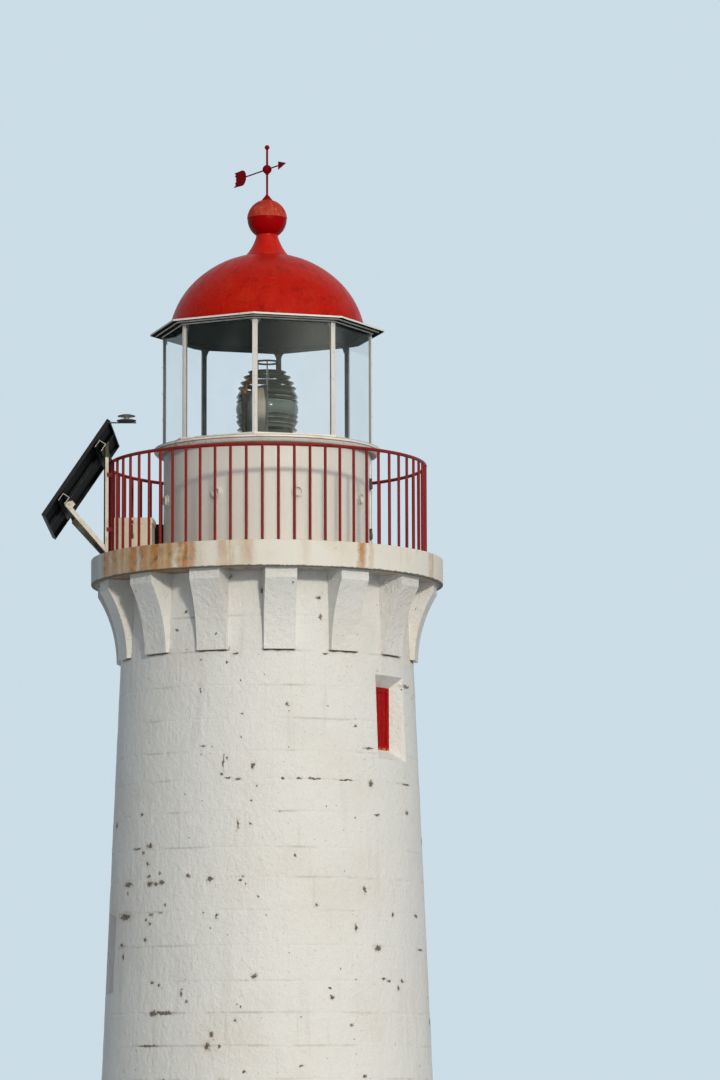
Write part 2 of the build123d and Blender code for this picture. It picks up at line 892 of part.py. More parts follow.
def build_roof():
    write("dome", dome())
    write("ventilator_neck", ventilator_neck())
    write("ball_lower", ball_half(ball_radius - ball_lap, False))
    write("ball_upper", ball_half(ball_radius, True))
    write("vane_spindle", spindle())
    write("wind_vane", vane())


# Lens


def upper_tip(index):
    angle = math.radians(upper_prism_angle + index * upper_prism_angle_step)
    distance = upper_prism_distance + index * upper_prism_distance_step
    return (distance * math.cos(angle), focal_height + distance * math.sin(angle))


def lower_tip(index):
    angle = math.radians(lower_prism_angle + index * lower_prism_angle_step)
    distance = lower_prism_distance + index * lower_prism_distance_step
    return (distance * math.cos(angle), focal_height - distance * math.sin(angle))


def prism_ring(tip, up):
    """Three-sided prism ring: up is 1 above the drum and -1 below it."""
    radius, height = tip
    return turned((
        (radius, height),
        (radius - prism_back, height + up * prism_rise),
        (radius - prism_drop_back, height - up * prism_drop),
    ))


def belt():
    """Bull's-eye belt: flat inside, crowned outside."""
    low = focal_height - belt_height / 2
    high = focal_height + belt_height / 2
    outline = Polyline(
        (belt_edge_radius, high),
        (glass_inside_radius, high),
        (glass_inside_radius, low),
        (belt_edge_radius, low),
    )
    crown = ThreePointArc(
        (belt_edge_radius, low), (belt_edge_radius + belt_crown, focal_height), (belt_edge_radius, high)
    )
    return revolve(Plane.XZ * make_face(outline + crown), Axis.Z, 360)


def step_ring(index, up):
    """Stepped ring, thickest at the edge nearest the belt."""
    near = belt_height / 2 + ring_gap + index * (step_ring_height + ring_gap)
    far = near + step_ring_height
    thick = belt_edge_radius + belt_crown
    return turned((
        (glass_inside_radius, focal_height + up * near),
        (thick, focal_height + up * near),
        (thick - step_ring_depth, focal_height + up * far),
        (glass_inside_radius, focal_height + up * far),
    ))


def rib():
    """Upright plate between two panels, cut to the outline of the glass, with a neck to the crown."""
    thick = belt_edge_radius + belt_crown + rib_cover
    inner = glass_inside_radius - rib_cover
    foot = pedestal_top + lens_ring_height
    crown = focal_height + lens_crown_rise
    neck = upper_tip(upper_prisms - 1)[1] + crown_neck_rise
    outer = [(thick, foot), (thick, upper_tip(0)[1] - prism_drop)]
    outer += [(r + rib_cover, z + rib_cover) for r, z in map(upper_tip, range(upper_prisms))]
    outer += [(lens_crown_radius, neck), (lens_crown_radius, crown)]
    back = [
        (r - prism_back - rib_cover, z + prism_rise + rib_cover)
        for r, z in map(upper_tip, range(upper_prisms))
    ]
    back = [(lens_crown_inside_radius, crown), (lens_crown_inside_radius, neck)] + back[::-1]
    lower = [(r - prism_back - rib_cover, z) for r, z in map(lower_tip, range(lower_prisms))]
    lower = [(inner, lower_tip(0)[1] + prism_drop)] + lower[1:]
    lower.append((lower[-1][0], foot))
    points = outer + back + lower
    return extrude(Plane.XZ * make_face(Polyline(*points, close=True)), rib_thickness / 2, both=True)


def lens_frame():
    """Six ribs between a foot ring and an open crown ring."""
    crown = focal_height + lens_crown_rise
    body = ring(
        lens_foot_inside_radius, belt_edge_radius + belt_crown + rib_cover,
        pedestal_top, pedestal_top + lens_ring_height,
    )
    body += ring(lens_crown_inside_radius, lens_crown_radius, crown, crown + lens_crown_height)
    for index in range(lens_panels):
        body += at_bearing(rib(), index * 360.0 / lens_panels)
    return body


def panel_wedge(index):
    """Space between two ribs, from the axis outwards."""
    span = 360.0 / lens_panels
    low = pedestal_top
    high = focal_height + lens_crown_rise
    reach = 2 * belt_edge_radius
    wedge = turned(((cut_allowance, low), (reach, low), (reach, high), (cut_allowance, high)), span)
    return at_bearing(wedge, index * span)


def lens_glass():
    drum = [belt()]
    for index in range(step_rings):
        drum.append(step_ring(index, 1))
        drum.append(step_ring(index, -1))
    drum += [prism_ring(lower_tip(index), -1) for index in range(lower_prisms)]
    drum.append(prism_ring(upper_tip(0), 1))
    upper = [prism_ring(upper_tip(index), 1) for index in range(1, upper_prisms)]
    ribs = [at_bearing(rib(), index * 360.0 / lens_panels) for index in range(lens_panels)]
    frame = ribs[0].fuse(*ribs[1:])
    blank = panel_wedge(screen_panel)
    pieces = [(glass - frame) for glass in upper]
    pieces += [(glass - frame - blank) for glass in drum]
    return pieces


def screen_point(radius, angle):
    return (radius * math.cos(angle), focal_height + radius * math.sin(angle))


def lens_screen():
    """Domed sheet round the focus over two panels, on a skirt in the panel without drum glass."""
    span = 360.0 / lens_panels
    inside = screen_radius - screen_sheet
    low = math.radians(screen_low_angle)
    high = math.acos(screen_top_radius / screen_radius)
    middle = (low + high) / 2
    outline = ThreePointArc(*[screen_point(screen_radius, angle) for angle in (low, middle, high)])
    outline += ThreePointArc(*[screen_point(inside, angle) for angle in (high, middle, low)])
    outline += Line(screen_point(screen_radius, high), screen_point(inside, high))
    outline += Line(screen_point(inside, low), screen_point(screen_radius, low))
    dome_part = revolve(Plane.XZ * make_face(outline), Axis.Z, 2 * span)
    dome_part = at_bearing(dome_part, (screen_panel - 1) * span)
    skirt = ring(inside, screen_radius, pedestal_top + lens_ring_height, focal_height)
    sheet = dome_part + (skirt & panel_wedge(screen_panel))
    for index in range(lens_panels):
        sheet -= at_bearing(rib(), index * span)
    return sheet


def pedestal():
    table_foot = pedestal_top - pedestal_table_height
    foot_top = slab_top + pedestal_foot_height
    return turned((
        (0, slab_top),
        (pedestal_foot_radius, slab_top),
        (pedestal_foot_radius, foot_top),
        (pedestal_radius, foot_top + pedestal_foot_slope),
        (pedestal_radius, table_foot - pedestal_table_slope),
        (pedestal_table_radius - pedestal_table_step, table_foot),
        (pedestal_table_radius, table_foot),
        (pedestal_table_radius, pedestal_top),
        (0, pedestal_top),
    ))


def build_lens():
    write("lens_pedestal", pedestal())
    write("lens_frame", lens_frame())
    write("lens_glass", *lens_glass())
    write("lens_screen", lens_screen())


# Solar array


def array_plane():
    """Plane of the modules' glass: x towards the first view, y up the slope."""
    yaw = math.radians(array_yaw_angle)
    dip = math.radians(array_dip_angle)
    tilt = math.radians(array_tilt_angle)
    along = Vector(math.sin(yaw) * math.cos(dip), math.cos(yaw) * math.cos(dip), -math.sin(dip))
    slope = Vector(math.cos(tilt), 0, math.sin(tilt))
    normal = slope.cross(along)
    return Plane(origin=array_centre, x_dir=along * -1, z_dir=normal)


def module_frames():
    solids = []
    for side in (-1, 1):
        x = side * (module_width + module_gap) / 2
        body = Pos(x, 0, -module_frame_depth / 2) * Box(module_width, module_length, module_frame_depth)
        hole_width = module_width - 2 * module_frame_width
        hole_length = module_length - 2 * module_frame_width
        body -= Pos(x, 0, 0) * Box(hole_width, hole_length, 3 * module_frame_depth)
        solids.append(body)
    return solids


def laminates():
    solids = []
    for side in (-1, 1):
        x = side * (module_width + module_gap) / 2
        width = module_width - 2 * module_frame_width
        length = module_length - 2 * module_frame_width
        z = -laminate_inset - laminate_thickness / 2
        solids.append(Pos(x, 0, z) * Box(width, length, laminate_thickness))
    return solids


def channel(offset):
    """Channel under the modules, open down the slope."""
    outer = Box(channel_length, channel_width, channel_depth)
    inner = Box(channel_length, channel_width, channel_depth - 2 * channel_wall)
    body = outer - Pos(0, -channel_wall, 0) * inner
    return Pos(0, offset, -module_frame_depth - channel_depth / 2) * body


def above_channels(plane):
    """Everything over the underside of the channels."""
    space = Box(array_reach, array_reach, array_reach, align=(Align.CENTER, Align.CENTER, Align.MIN))
    return plane * Pos(0, 0, -module_frame_depth - channel_depth) * space


def post_bar(offset):
    """Square bar on its foot plate, longer than the post that is cut from it."""
    low = slab_top + post_foot_thickness
    bar = Box(post_size, post_size, 2 * module_length, align=(Align.CENTER, Align.CENTER, Align.MIN))
    return Pos(post_x, offset, low) * Rot(0, 0, post_turn_angle) * bar


def post_foot(offset):
    """Foot plate that reaches outwards and sideways, clear of the railing."""
    turn = math.radians(post_turn_angle)
    half_span = post_size / 2 * (math.cos(turn) + math.sin(turn))
    return block((post_x - post_foot_reach, offset - post_foot_reach, slab_top),
                 (post_x + half_span, offset + post_foot_reach, slab_top + post_foot_thickness))


def strut(offset, plane):
    """Angle-iron strut from the foot of a post to the lower channel, its ridge to the front."""
    seat = plane.from_local_coords(Vector(-offset, lower_channel_offset, -module_frame_depth - channel_depth))
    foot = Vector(post_x, offset, slab_top + strut_foot_height)
    head = Vector(seat.X, offset, seat.Z)
    direction = (head - foot).normalized()
    length = (head - foot).length + 2 * strut_overlap
    frame = Plane(origin=foot - direction * strut_overlap, x_dir=(0, 1, 0), z_dir=direction)
    section = Rectangle(strut_size, strut_size)
    section -= Pos(strut_wall, -strut_wall) * Rectangle(strut_size, strut_size)
    bar = extrude(frame * Rot(0, 0, strut_roll_angle) * section, length)
    inboard = block((post_x, -array_reach, 0), (array_reach, array_reach, array_reach * 4))
    return bar - above_channels(plane) - inboard - post_bar(offset)


def baluster_place(number):
    """Plan position of a baluster, counted from the one nearest the front."""
    pitch = 360.0 / (rail_bays * balusters_per_bay)
    return point_at(baluster_ring_radius, first_baluster_bearing + number * pitch, slab_top)


def post_clamp(number, height):
    """Clamp block that holds a post against the baluster beside it."""
    x, y, foot = baluster_place(number)
    half = clamp_width / 2
    low = foot + height
    body = block((post_x, y - half, low), (x, y + half, low + clamp_height))
    body -= Pos(x, y, low + clamp_height / 2) * Cylinder(baluster_diameter / 2, 2 * clamp_height)
    return body - post_bar(y)


def build_array():
    plane = array_plane()
    write("solar_frames", *[plane * solid for solid in module_frames()])
    write("solar_laminates", *[plane * solid for solid in laminates()])
    offsets = (upper_channel_offset, lower_channel_offset)
    write("array_channels", *[plane * channel(offset) for offset in offsets])
    places = [baluster_place(number)[1] for number in post_balusters]
    posts = [post_bar(offset) - above_channels(plane) + post_foot(offset) for offset in places]
    write("array_posts", *posts)
    write("array_struts", *[strut(offset, plane) for offset in places])
    clamps = [post_clamp(number, height) for number in post_balusters for height in clamp_heights]
    write("array_clamps", *clamps)


def build_sensor():
    """Disc sensor on a flat arm at the top near corner of the array."""
    plane = array_plane()
    corner = plane.from_local_coords(Vector(
        module_width + module_gap / 2 - sensor_arm_width / 2,
        module_length / 2 - sensor_arm_drop,
        -module_frame_depth,
    ))
    half = sensor_arm_width / 2
    arm = block((corner.X - module_frame_depth, corner.Y - half, corner.Z - sensor_arm_thickness),
                (corner.X + sensor_arm_length, corner.Y + half, corner.Z))
    above_back = Pos(0, 0, -module_frame_depth) * Box(
        array_reach, array_reach, array_reach, align=(Align.CENTER, Align.CENTER, Align.MIN))
    arm -= plane * above_back
    cap_foot = sensor_disc_height + sensor_stem_height
    cap_top = cap_foot + sensor_cap_height
    rim_low = (sensor_disc_height - sensor_rim) / 2
    cap_rim_low = (sensor_cap_height - sensor_rim) / 2
    head = turned((
        (0, 0),
        (sensor_radius * sensor_flat_share, 0),
        (sensor_radius, rim_low),
        (sensor_radius, rim_low + sensor_rim),
        (sensor_radius * sensor_flat_share, sensor_disc_height),
        (sensor_stem_radius, sensor_disc_height),
        (sensor_stem_radius, cap_foot),
        (sensor_cap_radius, cap_foot + cap_rim_low),
        (sensor_cap_radius, cap_foot + cap_rim_low + sensor_rim),
        (sensor_cap_radius * sensor_flat_share, cap_top),
        (0, cap_top),
    ))
    centre = Pos(corner.X + sensor_arm_length - sensor_radius, corner.Y, corner.Z)
    write("array_sensor", arm + centre * head)


def build_cabinets():
    standing = (Align.CENTER, Align.CENTER, Align.MIN)
    body = Box(cabinet_width, cabinet_depth, cabinet_height, align=standing)
    lid = Box(cabinet_width + 2 * cabinet_lid_lap, cabinet_depth + 2 * cabinet_lid_lap,
              cabinet_lid_height, align=standing)
    place = Pos(cabinet_x, cabinet_off_centre, slab_top) * Rot(0, 0, cabinet_turn_angle)
    write("cabinet", place * (body + Pos(0, 0, cabinet_height) * lid))
    battery = Box(battery_width, battery_depth, battery_height, align=standing)
    middle = point_at(battery_radius, battery_bearing, slab_top)
    place = Pos(*middle) * Rot(0, 0, battery_turn_angle)
    write("battery_box", place * battery)


build_tower()
build_gallery()
build_lantern_base()
build_glazing()
build_roof()
build_lens()
build_array()
build_sensor()
build_cabinets()
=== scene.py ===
import math
import random

import bpy
from mathutils import Matrix, Vector, noise


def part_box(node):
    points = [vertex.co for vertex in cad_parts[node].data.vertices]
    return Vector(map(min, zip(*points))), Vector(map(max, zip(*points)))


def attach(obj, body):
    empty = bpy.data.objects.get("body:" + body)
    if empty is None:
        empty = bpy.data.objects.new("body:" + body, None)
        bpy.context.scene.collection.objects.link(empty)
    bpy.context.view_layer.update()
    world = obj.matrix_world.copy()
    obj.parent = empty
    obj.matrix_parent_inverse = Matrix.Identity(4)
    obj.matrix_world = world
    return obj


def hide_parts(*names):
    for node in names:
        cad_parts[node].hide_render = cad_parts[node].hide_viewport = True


# Looks of a white masonry lighthouse with a red dome. Metres, in the frame of the CAD model:
# +Z up, the side that is seen first looks along +Y. Bearings run from -Y towards +X.

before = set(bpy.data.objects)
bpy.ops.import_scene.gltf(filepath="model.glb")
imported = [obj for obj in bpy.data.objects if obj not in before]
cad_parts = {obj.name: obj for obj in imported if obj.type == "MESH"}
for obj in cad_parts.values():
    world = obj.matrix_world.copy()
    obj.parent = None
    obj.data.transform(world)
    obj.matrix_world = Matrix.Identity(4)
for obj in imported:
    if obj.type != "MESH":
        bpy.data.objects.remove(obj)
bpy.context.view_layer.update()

UP = Vector((0.0, 0.0, 1.0))

# Tower wall, repeated from the CAD model
GROUND_RADIUS = 1.720
BATTER = 0.0419
INSIDE_RADIUS = 0.990
WALL_SEGMENTS = 8
WALL_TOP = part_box("gallery_slab")[0].z
SLAB_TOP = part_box("gallery_slab")[1].z
FLOOR_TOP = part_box("ground_floor")[1].z

# Window embrasures: bearing, sill height
WINDOWS = ((55.4, 4.961), (280.4, 2.685))
EMBRASURE_WIDTH = 0.496
EMBRASURE_HEIGHT = 0.830
WINDOW_WIDTH = 0.340
WINDOW_HEIGHT = 0.620
WINDOW_SILL_RISE = 0.108
WINDOW_SET_BACK = 0.150

# Ground doorway
DOOR_BEARING = 180.0
DOOR_HALF_WIDTH = 0.450
DOOR_SPRING = 1.700

# Courses of the wall: heights of the bed joints
BED_JOINTS = (
    0.0, 0.26, 0.57, 0.89, 1.21, 1.53, 1.85, 2.17, 2.485, 2.79, 3.13, 3.465,
    3.785, 4.075, 4.42, 4.735, 5.01, 5.325, 5.65, 5.985, 6.33, WALL_TOP,
)
STONE_LENGTH = 0.58
JOINT_DEPTH = 0.0030
JOINT_WIDTH = 0.017
UPRIGHT_JOINT_SHARE = 0.40
STONE_CELL = 0.030
STONE_OFFSET = 0.0013
UNROLL_RADIUS = 1.56

# Corbels under the gallery
CORBELS = 14
FIRST_CORBEL = 4.6
CORBEL_WIDTH = 0.310
CORBEL_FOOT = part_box("corbels")[0].z

# Places where paint and stone are broken away: bearing, height, half width, half height
BROKEN_PLACES = (
    (-25.9, 5.611, 0.012, 0.028), (7.4, 5.460, 0.021, 0.014), (-9.4, 5.369, 0.010, 0.010),
    (-24.4, 5.062, 0.027, 0.008), (-9.7, 5.140, 0.010, 0.010), (-16.4, 4.910, 0.010, 0.055),
    (-14.9, 4.938, 0.009, 0.015), (-16.8, 4.784, 0.016, 0.016), (-14.5, 4.744, 0.034, 0.010),
    (-10.7, 4.732, 0.032, 0.012), (5.7, 4.735, 0.016, 0.009), (11.8, 4.741, 0.027, 0.009),
    (17.7, 4.739, 0.074, 0.009), (29.5, 4.733, 0.110, 0.006), (-5.2, 4.857, 0.019, 0.030),
    (-3.7, 4.662, 0.011, 0.016), (35.0, 5.267, 0.016, 0.014), (22.5, 5.962, 0.027, 0.010),
    (-11.9, 5.955, 0.030, 0.016), (-26.0, 5.905, 0.016, 0.010), (-15.4, 5.876, 0.010, 0.010),
    (68.3, 5.712, 0.085, 0.016), (64.0, 4.730, 0.070, 0.010), (41.6, 4.712, 0.026, 0.030),
    (63.8, 4.454, 0.030, 0.020), (44.2, 4.407, 0.042, 0.008), (41.0, 5.055, 0.050, 0.010),
    (-53.0, 4.427, 0.025, 0.016), (-47.6, 4.112, 0.045, 0.021), (-55.4, 4.090, 0.060, 0.011),
    (-51.5, 4.049, 0.016, 0.020), (-10.6, 4.296, 0.013, 0.045), (-5.9, 4.295, 0.013, 0.014),
    (9.9, 3.995, 0.011, 0.015), (-48.7, 3.938, 0.015, 0.021), (-47.6, 3.815, 0.030, 0.015),
    (-42.0, 3.843, 0.013, 0.010), (-29.4, 3.808, 0.017, 0.018), (-20.7, 3.769, 0.034, 0.021),
    (-8.6, 3.793, 0.015, 0.010), (-9.7, 3.755, 0.020, 0.008), (-7.5, 3.716, 0.010, 0.010),
    (-46.9, 3.741, 0.037, 0.026), (-43.8, 3.738, 0.028, 0.020), (-41.3, 3.750, 0.033, 0.021),
    (-60.8, 3.747, 0.080, 0.024), (-60.6, 3.668, 0.021, 0.015), (-3.3, 3.595, 0.013, 0.013),
    (-39.1, 3.530, 0.016, 0.016), (17.7, 3.520, 0.014, 0.015), (37.2, 3.670, 0.017, 0.038),
    (-62.2, 3.435, 0.110, 0.034), (-48.4, 3.393, 0.015, 0.015), (-45.8, 3.439, 0.029, 0.016),
    (-46.2, 3.352, 0.022, 0.016), (-48.6, 3.199, 0.023, 0.021), (-40.9, 3.454, 0.020, 0.010),
    (-22.8, 3.443, 0.016, 0.010), (-18.1, 3.412, 0.015, 0.023), (51.0, 3.439, 0.020, 0.020),
    (68.2, 3.445, 0.044, 0.015), (32.8, 3.300, 0.015, 0.034), (42.5, 3.112, 0.040, 0.028),
    (71.1, 3.114, 0.080, 0.010), (-63.7, 3.158, 0.036, 0.016), (-62.5, 3.045, 0.023, 0.025),
    (-4.6, 2.833, 0.024, 0.029), (22.7, 2.633, 0.019, 0.018), (22.0, 2.719, 0.010, 0.010),
    (44.9, 2.814, 0.028, 0.010), (47.5, 2.796, 0.022, 0.010), (55.0, 2.800, 0.027, 0.014),
    (52.4, 2.730, 0.015, 0.020), (-44.1, 2.780, 0.021, 0.016), (-40.8, 2.759, 0.020, 0.016),
    (-31.1, 2.678, 0.011, 0.030), (-29.1, 2.591, 0.015, 0.015), (-39.0, 2.487, 0.145, 0.015),
    (-43.4, 2.481, 0.045, 0.026), (-11.0, 2.414, 0.016, 0.015), (30.0, 2.366, 0.017, 0.014),
    (-9.0, 2.537, 0.010, 0.010), (-19.4, 2.282, 0.020, 0.026), (-20.8, 2.168, 0.028, 0.036),
    (-16.5, 2.158, 0.013, 0.020), (-45.1, 2.174, 0.120, 0.010), (-7.8, 1.919, 0.015, 0.011),
    (11.7, 1.974, 0.012, 0.010), (-14.2, 6.711, 0.013, 0.020), (-2.0, 6.577, 0.013, 0.028),
    (20.4, 6.508, 0.022, 0.016), (21.1, 6.322, 0.017, 0.024), (31.4, 6.246, 0.028, 0.012),
    (-37.2, 6.216, 0.025, 0.012), (-43.2, 6.148, 0.022, 0.016), (78.0, 6.020, 0.060, 0.030),
    (-33.1, 6.387, 0.014, 0.016), (8.8, 6.412, 0.012, 0.012),
)
BROKEN_SPREAD = 100
BROKEN_FREE_BEARING = 75.0

# Rust that runs down the edge of the gallery: bearing, half width in degrees, strength
RUST_RUNS = (
    (-64.5, 3.2, 1.0), (-58.0, 2.2, 0.70), (-52.5, 2.2, 0.75), (-48.0, 2.6, 1.0),
    (-43.0, 2.4, 0.90), (-37.6, 3.4, 1.15), (-32.8, 1.4, 0.85), (-27.5, 2.2, 1.2), (-24.6, 1.4, 0.70),
    (-13.0, 3.6, 0.50), (-6.5, 2.8, 0.40), (12.0, 1.8, 0.20), (31.4, 1.5, 0.95),
    (35.0, 1.0, 0.35), (67.0, 2.2, 0.60), (104.0, 2.0, 0.45), (131.0, 3.0, 0.60),
    (163.0, 1.6, 0.50), (-172.0, 2.4, 0.55), (-146.0, 2.8, 0.60), (-121.0, 1.8, 0.80),
    (-98.0, 2.6, 0.55),
)
SLAB_RADIUS = 1.77
RAIL_RING_RADIUS = 1.596
BALUSTERS = 64
FIRST_BALUSTER = -1.7

# Solar array
ARRAY_CENTRE = (-1.893, 0.0, 7.874)
ARRAY_YAW = 3.05
ARRAY_DIP = 5.0
ARRAY_TILT = 56.5
MODULE_WIDTH = 0.548
MODULE_GAP = 0.006
CELL_SIZE = 0.1255
POST_DARK_HEIGHT = 8.035
SENSOR_HEIGHT = 0.076

# Cabinet on the gallery
CABINET_MIDDLE = (-1.348, 0.020, 0.0)
CABINET_BEARING = -4.0

# Lantern
LANTERN_SIDES = 8
FIRST_CORNER = -6.6
BAR_BACK = 1.036
BAR_FACE = 1.062
BAR_HALF = 0.0262
DOME_RADIUS = 1.000
DOME_CENTRE = 9.260
DOME_RISE = 0.913
DOME_SEAMS = 20
SEAM_FOOT = 9.410
SEAM_END_ANGLE = 77.0
FIRST_SEAM = 9.0

# Lens, heights from its focus
LENS_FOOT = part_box("lens_frame")[0].z
FOCUS_RISE = 0.385
LENS_FOCUS = LENS_FOOT + FOCUS_RISE
LENS_PANELS = 6
BLANK_PANEL = 5
GLASS_INSIDE = 0.262
BELT_HALF = 0.0715
BELT_EDGE = 0.292
BELT_CROWN = 0.316
STEP_TIP = 0.313
STEP_FOOT = 0.286
STEP_LEVELS = ((0.0740, 0.1225), (0.1250, 0.1740))
UPPER_TIPS = ((0.2950, 0.215), (0.2720, 0.271), (0.2410, 0.331), (0.1960, 0.383))
LOWER_TIPS = ((0.3040, -0.213), (0.2700, -0.272), (0.2240, -0.326))
RIB_HALF = 0.006
RIB_FOOT = 0.012 - FOCUS_RISE

# Rings of the lens's frame: inner and outer radius, bottom and top
FOOT_RING = (0.150, 0.322, -FOCUS_RISE, RIB_FOOT)
CROWN_RING = (0.105, 0.137, 0.478, 0.492)

# Round head of a bolt: radius, height
BOLT = (
    (0.0, 0.0075), (0.004, 0.0075), (0.0065, 0.006), (0.0078, 0.0035), (0.0082, 0.0), (0.0082, -0.003),
)

# Camera, in the photograph's 720 x 1080 pixels
FRAME_HEIGHT = 1080.0
FOCAL_PIXELS = 4400.0
EYE_DISTANCE = 44.0
EYE_HEIGHT = 1.65
HORIZON_BELOW_CENTRE = 560.0
AXIS_LEFT_OF_CENTRE = 94.3
ROLL = -0.003
SENSOR = 36.0

FLOOR_HALF_SIZE = 60.0


def smooth(value, low, high):
    """0 at low, 1 at high, smooth between them."""
    share = min(1.0, max(0.0, (value - low) / (high - low)))
    return share * share * (3.0 - 2.0 * share)


def wall_radius(height):
    """Outer radius of the battered wall."""
    return GROUND_RADIUS - BATTER * height


def at_bearing(radius, bearing, height):
    """Point at a distance from the tower's axis; the bearing is in radians."""
    return Vector((radius * math.sin(bearing), -radius * math.cos(bearing), height))


def directions(bearing):
    """Unit vectors outwards and sideways at a bearing in radians."""
    return at_bearing(1.0, bearing, 0.0), Vector((math.cos(bearing), math.sin(bearing), 0.0))


# Node materials


class Nodes:
    """A node tree in the making."""

    def __init__(self, owner):
        owner.use_nodes = True
        self.nodes = owner.node_tree.nodes
        self.links = owner.node_tree.links

    def feed(self, socket, value):
        if isinstance(value, bpy.types.NodeSocket):
            self.links.new(value, socket)
        elif value is not None:
            if socket.type == "RGBA" and len(value) == 3:
                value = (*value, 1.0)
            socket.default_value = value

    def node(self, kind, *values, **settings):
        made = self.nodes.new(kind)
        for key, value in settings.items():
            setattr(made, key, value)
        for socket, value in zip(made.inputs, values):
            self.feed(socket, value)
        return made

    def math(self, operation, a, b=None):
        return self.node("ShaderNodeMath", a, b, operation=operation).outputs[0]

    def larger(self, a, b):
        return self.math("MAXIMUM", a, b)

    def seen(self):
        """1 for what the camera sees, straight, mirrored or through glass; 0 for other rays."""
        path = self.node("ShaderNodeLightPath").outputs
        straight = self.larger(path["Is Camera Ray"], path["Is Glossy Ray"])
        return self.larger(straight, path["Is Transmission Ray"])

    def finish(self, target, share, a, b):
        """Mix two shaders into the tree's output."""
        mixed = self.node("ShaderNodeMixShader", share, a.outputs[0], b.outputs[0])
        self.links.new(mixed.outputs[0], self.nodes[target].inputs[0])


class Surface(Nodes):
    """One node material in the making. Its places are object coordinates, the frame's metres."""

    def __init__(self, name):
        self.material = bpy.data.materials.new(name)
        super().__init__(self.material)
        self.shader = self.nodes["Principled BSDF"]
        self.place = self.nodes.new("ShaderNodeTexCoord").outputs["Object"]
        self.x, self.y, self.z = self.split(self.place)

    def vector(self, operation, a, b=None, c=None):
        made = self.node("ShaderNodeVectorMath", a, b, c, operation=operation)
        return made.outputs["Value" if operation in ("LENGTH", "DOT_PRODUCT") else "Vector"]

    def split(self, vector):
        made = self.node("ShaderNodeSeparateXYZ", vector)
        return made.outputs[0], made.outputs[1], made.outputs[2]

    def join(self, x, y, z):
        return self.node("ShaderNodeCombineXYZ", x, y, z).outputs[0]

    def fade(self, value, low, high, strength=1.0):
        """0 at low, the strength at high, smooth between them."""
        made = self.node("ShaderNodeMapRange", value, low, high, 0.0, strength,
                         interpolation_type="SMOOTHSTEP")
        return made.outputs[0]

    def scale(self, value, low, high):
        """A 0 to 1 value stretched from low to high."""
        return self.node("ShaderNodeMapRange", value, 0.0, 1.0, low, high).outputs[0]

    def noise(self, scale, detail=3.0, roughness=0.55, at=None):
        place = self.place if at is None else at
        return self.node("ShaderNodeTexNoise", place, None, scale, detail, roughness).outputs[0]

    def noise_colour(self, scale):
        return self.node("ShaderNodeTexNoise", self.place, None, scale).outputs["Color"]

    def sheen(self, level):
        """How strongly the paint mirrors what is round it; 0.5 is fresh gloss."""
        self.feed(self.shader.inputs["Specular IOR Level"], level)

    def facing(self, direction):
        """1 where the surface faces a direction, -1 where it faces away."""
        normal = self.node("ShaderNodeNewGeometry").outputs["Normal"]
        return self.vector("DOT_PRODUCT", normal, direction)

    def outwards(self):
        """1 where the surface faces away from the tower's axis, -1 where it faces the axis."""
        return self.facing(self.vector("NORMALIZE", self.join(self.x, self.y, 0.0)))

    def cells(self, scale, at=None):
        place = self.place if at is None else at
        return self.node("ShaderNodeTexVoronoi", place, None, scale).outputs

    def mix(self, share, a, b):
        made = self.nodes.new("ShaderNodeMix")
        made.data_type = "RGBA"
        self.feed(made.inputs[0], share)
        self.feed(made.inputs[6], a)
        self.feed(made.inputs[7], b)
        return made.outputs[2]

    def mottle(self, scale, low, high, a, b):
        """Two colours in soft patches."""
        return self.mix(self.fade(self.noise(scale, 4.0), low, high), a, b)

    def total(self, *values):
        """Sum of several values."""
        result = values[0]
        for value in values[1:]:
            result = self.math("ADD", result, value)
        return result

    def times(self, a, b):
        return self.math("MULTIPLY", a, b)

    def less(self, a, b):
        return self.math("SUBTRACT", a, b)

    def apart(self, a, b):
        """Distance between two values."""
        return self.math("ABSOLUTE", self.less(a, b))

    def reach(self):
        """Metres of the shaded point from the tower's axis."""
        return self.vector("LENGTH", self.join(self.x, self.y, 0.0))

    def bearing(self):
        """Bearing in radians of the shaded point round the tower."""
        return self.math("ARCTAN2", self.x, self.times(self.y, -1.0))

    def unrolled(self):
        """Tower face laid flat: metres round the wall, height, 0."""
        return self.join(self.times(self.bearing(), UNROLL_RADIUS), self.z, 0.0)

    def pits(self, scale, size, share, at=None):
        """Scattered small spots: about one for each cell of the scale, of which a share is kept."""
        cell = self.cells(scale, at=at)
        chance = self.split(cell["Color"])[0]
        kept = self.fade(chance, 1.0 - share, 1.0 - share + 0.02)
        near = self.fade(cell["Distance"], size, size * 0.55)
        return self.times(near, kept)

    def dress(self, colour, roughness, height=None, metallic=0.0):
        """Finish the material; height is in metres and makes the bump."""
        self.feed(self.shader.inputs["Base Color"], colour)
        self.feed(self.shader.inputs["Roughness"], roughness)
        self.feed(self.shader.inputs["Metallic"], metallic)
        if height is not None:
            bump = self.nodes.new("ShaderNodeBump")
            bump.inputs["Distance"].default_value = 1.0
            self.feed(bump.inputs["Height"], height)
            self.feed(self.shader.inputs["Normal"], bump.outputs[0])
        return self.material


CLEAN_PAINT = (0.742, 0.725, 0.703)
WARM_PAINT = (0.700, 0.652, 0.600)
GREY_PAINT = (0.685, 0.680, 0.665)
BARE_STONE = (0.075, 0.060, 0.045)


